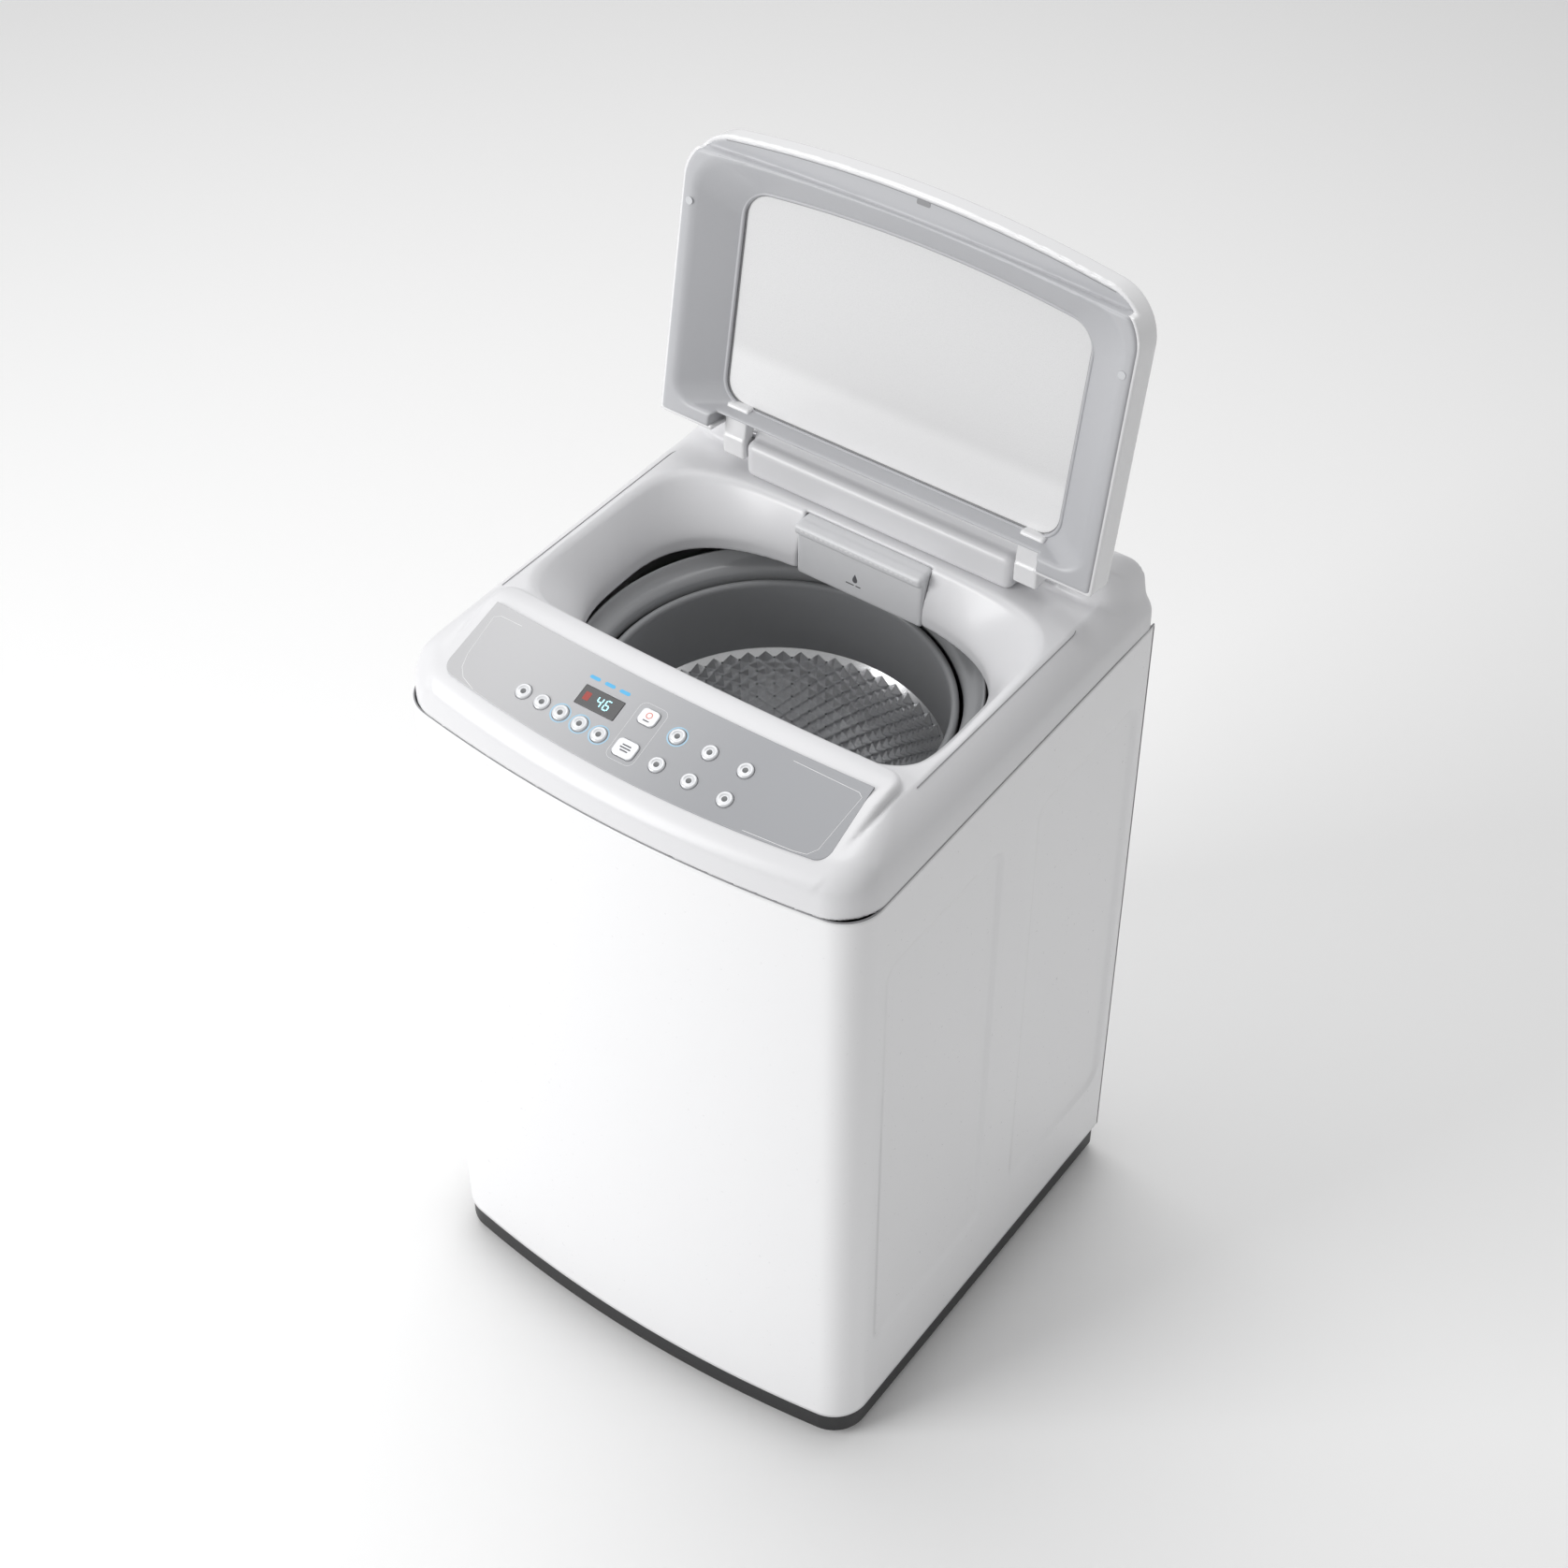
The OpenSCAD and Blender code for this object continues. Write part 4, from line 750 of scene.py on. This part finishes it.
dress(grey_plastic, "outer_tub", "basket_base", "drain_hose", "wiring_loom")
dress(pale_plastic, "pulsator", "lint_filter", "drain_valve")
dress(white_plastic, "inlet_valve")
dress(finish("zinc_plated_steel", (0.45, 0.46, 0.47), 0.42, 120, 0.1, metallic=1), "tub_support")
dress(finish("cast_aluminium", (0.42, 0.42, 0.43), 0.5, 300, 0.5, metallic=1), "gearbox", "motor", "motor_pulley")


# ---- Detergent drawer: a pale plastic tray with two chambers that slides out of the back of the well.
# A lip runs along the top of its front, with a row of raised grip marks and a moulded drop on the face.
drawer_low, drawer_high = [1000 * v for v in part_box("detergent_drawer")]
drawer_plastic = finish("drawer_plastic", (0.72, 0.725, 0.74), 0.3, 900, 0.04)


def drawer_field(x, y, z):
    face = drawer_low.y + 5
    tray = slab(x, y, z, (drawer_low.x, face, drawer_low.z), (drawer_high.x, drawer_high.y, drawer_high.z), 4)
    lip = slab(x, y, z, (drawer_low.x, drawer_low.y, drawer_high.z - 11), (drawer_high.x, face + 8, drawer_high.z), 3)
    tray = either(tray, lip, 2)
    chamber = slab(np.abs(x), y, z, (2, face + 3.5, drawer_low.z + 3),
                   (drawer_high.x - 3, drawer_high.y - 3, drawer_high.z + 30), 5)
    deck = np.maximum(y - face - 30, drawer_high.z - 4 - z)
    return both(tray, -np.maximum(chamber, -deck), 0.8)


skin("drawer_tray", drawer_field, drawer_low, drawer_high, 2, [drawer_plastic], "drawer",
     "detergent_drawer")
drawer_face = Matrix.Translation((0, (drawer_low.y + 5) / 1000, 0)) @ Matrix.Rotation(math.pi / 2, 4, "X")
drawer_lip = Matrix.Translation((0, drawer_low.y / 1000, 0)) @ Matrix.Rotation(math.pi / 2, 4, "X")
plate("drawer_grip_marks", [rounded(1.9, 0.7, 0.6, (x, drawer_high.z - 4.5), 2) for x in range(-66, 67, 6)], -0.1, 0.35,
      0.1, white_print, "drawer", place=drawer_lip)
drop = [(4 * math.sin(t) * math.sin(t / 2) ** 1.5, 5.5 * math.cos(t)) for t in np.linspace(0, 2 * math.pi, 25)[:-1]]
plate("drawer_drop", [[(x - 4, drawer_low.z + 26 + y) for x, y in drop]], -0.1, 0.3, 0.05, dark_print, "drawer",
      place=drawer_face)
plate("drawer_bars", [rounded(w, 0.6, 0.5, (x - 4, drawer_low.z + 17), 2) for w, x in ((5, -6), (3, 4))], -0.1, 0.3,
      0.05, dark_print, "drawer", place=drawer_face)


# ---- Hinge cover: a flat-faced white rail between the lid's two arms, clipped on behind the well.
# The steel pins stand out of its ends and turn in the arms.
pivot = (1000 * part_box("hinge_pins")[0] + 1000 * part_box("hinge_pins")[1]) / 2
rail_low, rail_high = [1000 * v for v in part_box("hinge_cover")]


def rail_field(x, y, z):
    back_part = slab(x, y, z, (rail_low.x, pivot.y - 4, rail_low.z), (rail_high.x, rail_high.y, rail_high.z), 5)
    face = slab(x, y, z, (rail_low.x, rail_low.y, rail_low.z), (rail_high.x, rail_high.y, rail_high.z - 3), 9)
    return both(either(face, back_part, 3), np.abs(x) - rail_high.x, 1.2)


skin("hinge_rail", rail_field, rail_low, rail_high, 2, [white_plastic], "casing", "hinge_cover")


# ---- Lid: a white outer shell over a pale inner frame, which slopes in to a large frosted window.
# Both are drawn level about the hinge pins, with the front towards -Y, and then swung open.
lid_open = math.radians(101)
lid_place = Matrix.Translation(pivot / 1000) @ Matrix.Rotation(-lid_open, 4, "X")
lid_half = 1000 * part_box("lid_outer")[1].x
lid_front = -329.4
lid_bow = 1500
lid_corner = 45
rim = -37.4
front_lip = rim + 12.9
window_front = lid_front + 58
window_half = 197
window_bow = 1460
lid_white = finish("white_lid_plastic", (0.84, 0.84, 0.85), 0.24, 1200, 0.03, coat=0.3)
frame_plastic = finish("inner_frame_plastic", (0.5, 0.505, 0.525), 0.36, 1200, 0.04)


def lid_edge(x, y, inset):
    bow = np.hypot(x, y - lid_front - lid_bow) - lid_bow
    return both(both(np.abs(x) - lid_half, bow, lid_corner) + inset, y + 7 + inset, 4)


def ridge_relief(x, y, z):
    """The step under the lid's front lip, which leaves room for the cover's ridge when the lid is shut."""
    return np.maximum(y - lid_front - 27 - 0.00012 * x ** 2, z - front_lip)


def lid_notch(x, y, grow):
    return both(np.abs(x) - 191 - grow, -22 - grow - y, 4)


def window_edge(x, y, grow):
    bow = np.hypot(x, y - window_front - window_bow) - window_bow
    return both(both(np.abs(x) - window_half, bow, 28), y + 32, 24) - grow


def shell_field(x, y, z):
    crown = z - 3 + 0.00002 * x ** 2
    shape = both(lid_edge(x, y, 0), crown, 7)
    shape = np.maximum(np.maximum(shape, -35 - z), -ridge_relief(x, y, z))
    hollow = np.maximum(lid_edge(x, y, 5), z + 2)
    shape = both(np.maximum(shape, -hollow), -lid_notch(x, y, 0), 1.5)
    return both(shape, -window_edge(x, y, -4), 1.5)


def frame_field(x, y, z):
    across = np.abs(x)
    shape = both(lid_edge(x, y, 3), rim - z, 3)
    shape = both(shape, z + 1, 0.5)
    shallow = np.maximum(np.maximum(across - 190, -34 - y), z - rim - 8)
    shape = both(both(shape, -shallow, 3), -lid_notch(x, y, 3), 2)
    shape = both(shape, -ridge_relief(x, y, z), 2)
    deep = np.clip((z - rim) / 30, -0.4, 1)
    wide = 241 - 44 * deep
    bow = np.hypot(x, y - lid_front - 20 - 38 * deep - 1480) - 1480
    dish = both(both(across - wide, bow, 34), y + 26 + 6 * deep, 22)
    shape = both(shape, -np.maximum(dish, z + 7), 3.5)
    shape = both(shape, -window_edge(x, y, 0), 1.5)
    return shape


def arm_field(x, y, z):
    """One hinge arm: a block round the pin that meets the end of the hinge rail when the lid is open."""
    across = np.abs(x)
    out = y * math.cos(lid_open) + z * math.sin(lid_open)
    up = z * math.cos(lid_open) - y * math.sin(lid_open)
    block = slab(across, out, up, (161, -18.5, -21), (188, 7, 3), 2.5)
    neck = slab(across, y, z, (161, -34, -17), (188, 0, -2), 2)
    return np.maximum(either(block, neck, 2), 3.1 - np.hypot(y, z))


lid_cell = 2
skin("lid_shell", shell_field, (-256, lid_front, -36), (256, -6, 4), lid_cell, [lid_white], "lid", "lid_outer",
     lid_place)
skin("lid_frame", frame_field, (-254, lid_front, -38), (254, 20, 9), lid_cell, [frame_plastic], "lid",
     "lid_inner_frame", lid_place)

skin("lid_hinge_arms", arm_field, (-190, -36, -24), (190, 28, 24), lid_cell, [lid_white], "lid", place=lid_place)
# Painted shade: a mid grey for the thin lines along the lid's parting line and round the window's edge, and for the
# latch notch, where shade falls.
painted_gap_shade = finish("parting_line_shadow", (0.3, 0.3, 0.31), 0.7, 900, 0.0)

frosted, frost_nodes, frost_links, frost_shader = blank_material("frosted_window")
frost_axis = frost_nodes.new("ShaderNodeSeparateXYZ")
# Painted reflection: the window's colour is paler below about 0.99 m up, near the hinge, and greyer above, standing for
# a soft reflection along its lower band.
frost_painted_reflection = frost_nodes.new("ShaderNodeMapRange")
frost_painted_reflection.interpolation_type = "SMOOTHSTEP"
frost_painted_reflection.inputs["From Min"].default_value = 0.985
frost_painted_reflection.inputs["From Max"].default_value = 1.005
frost_reflection_tone = frost_nodes.new("ShaderNodeMix")
frost_reflection_tone.data_type = "RGBA"
frost_reflection_tone.inputs["A"].default_value = (0.84, 0.84, 0.845, 1)
frost_reflection_tone.inputs["B"].default_value = (0.74, 0.74, 0.745, 1)
frost_links.new(frost_axis.outputs["Z"], frost_painted_reflection.inputs["Value"])
frost_links.new(frost_painted_reflection.outputs["Result"], frost_reflection_tone.inputs["Factor"])
frost_links.new(frost_reflection_tone.outputs["Result"], frost_shader.inputs["Base Color"])
frost_shader.inputs["Coat Weight"].default_value = 0.2
frost_place = frost_nodes.new("ShaderNodeTexCoord")
frost_links.new(frost_place.outputs["Object"], frost_axis.inputs["Vector"])
frost_noise = frost_nodes.new("ShaderNodeTexNoise")
frost_noise.inputs["Scale"].default_value = 1800
frost_links.new(frost_place.outputs["Object"], frost_noise.inputs["Vector"])
frost_gloss = frost_nodes.new("ShaderNodeMapRange")
frost_gloss.inputs["To Min"].default_value = 0.22
frost_gloss.inputs["To Max"].default_value = 0.34
frost_links.new(frost_noise.outputs["Fac"], frost_gloss.inputs["Value"])
frost_links.new(frost_gloss.outputs["Result"], frost_shader.inputs["Roughness"])
frost_bump = frost_nodes.new("ShaderNodeBump")
frost_bump.inputs["Strength"].default_value = 0.03
frost_links.new(frost_noise.outputs["Fac"], frost_bump.inputs["Height"])
frost_links.new(frost_bump.outputs["Normal"], frost_shader.inputs["Normal"])


def window_outline(grow):
    """The window's outline: a bowed front edge, straight sides and rear, and round corners."""
    half = window_half + grow
    radius = window_bow + grow
    front_y = window_front - grow
    r = 28 + grow
    reach = half - r
    base = front_y + radius - math.sqrt((radius - r) ** 2 - reach ** 2)
    lean = math.asin(reach / (radius - r))
    points = [(radius * math.sin(a), front_y + radius - radius * math.cos(a)) for a in np.linspace(-lean, lean, 25)]
    points += [(reach + r * math.sin(a), base - r * math.cos(a)) for a in np.linspace(lean, math.pi / 2, 9)[1:]]
    r = 24 + grow
    top = -32 + grow
    points += [(half - r + r * math.cos(a), top - r + r * math.sin(a)) for a in np.linspace(0, math.pi / 2, 9)]
    points += [(-half + r - r * math.sin(a), top - r + r * math.cos(a)) for a in np.linspace(0, math.pi / 2, 9)]
    r = 28 + grow
    points += [(-reach - r * math.cos(a), base - r * math.sin(a)) for a in np.linspace(0, math.pi / 2 - lean, 9)[:-1]]
    return points


def lid_outline(inset, rear_end):
    """The lid's outline from one side, round its bowed front, to the other side."""
    half, r, radius = lid_half - inset, lid_corner - inset, lid_bow - inset
    first = lid_front + inset
    reach = half - r
    base = first + radius - math.sqrt((radius - r) ** 2 - reach ** 2)
    lean = math.asin(reach / (radius - r))
    bow = [(radius * math.sin(a), first + radius - radius * math.cos(a)) for a in np.linspace(0, lean, 24)]
    bend = [(reach + r * math.sin(a), base - r * math.cos(a)) for a in np.linspace(lean, math.pi / 2, 12)[1:]]
    side = bow + bend + [(half, rear_end)]
    return [(-x, y) for x, y in reversed(side[1:])] + side


plate("lid_window_sheet", [window_outline(6)], -6, -2.5, 0.4, frosted, "lid", "lid_window", lid_place)
stroke("window_bead", window_outline(1.5), 4.4, -8.2, frame_plastic, "lid", lid_place, closed=True)
stroke("window_edge_shade_line", window_outline(-1.4), 1.0, -6.6, painted_gap_shade, "lid", lid_place, closed=True)
front_line = [(x, y) for x, y in lid_outline(5.6, -200) if y < lid_front + 22]
stroke("lid_parting_line", front_line, 0.9, front_lip, painted_gap_shade, "lid", lid_place)
plate("lid_latch_notch", [rounded(7.5, 2.6, 1.5, (7.5, lid_front + 8.5), 4)], front_lip - 0.3, front_lip + 3, 0.2,
      painted_gap_shade, "lid", place=lid_place)
dress(pale_plastic, "lid_bumpers")
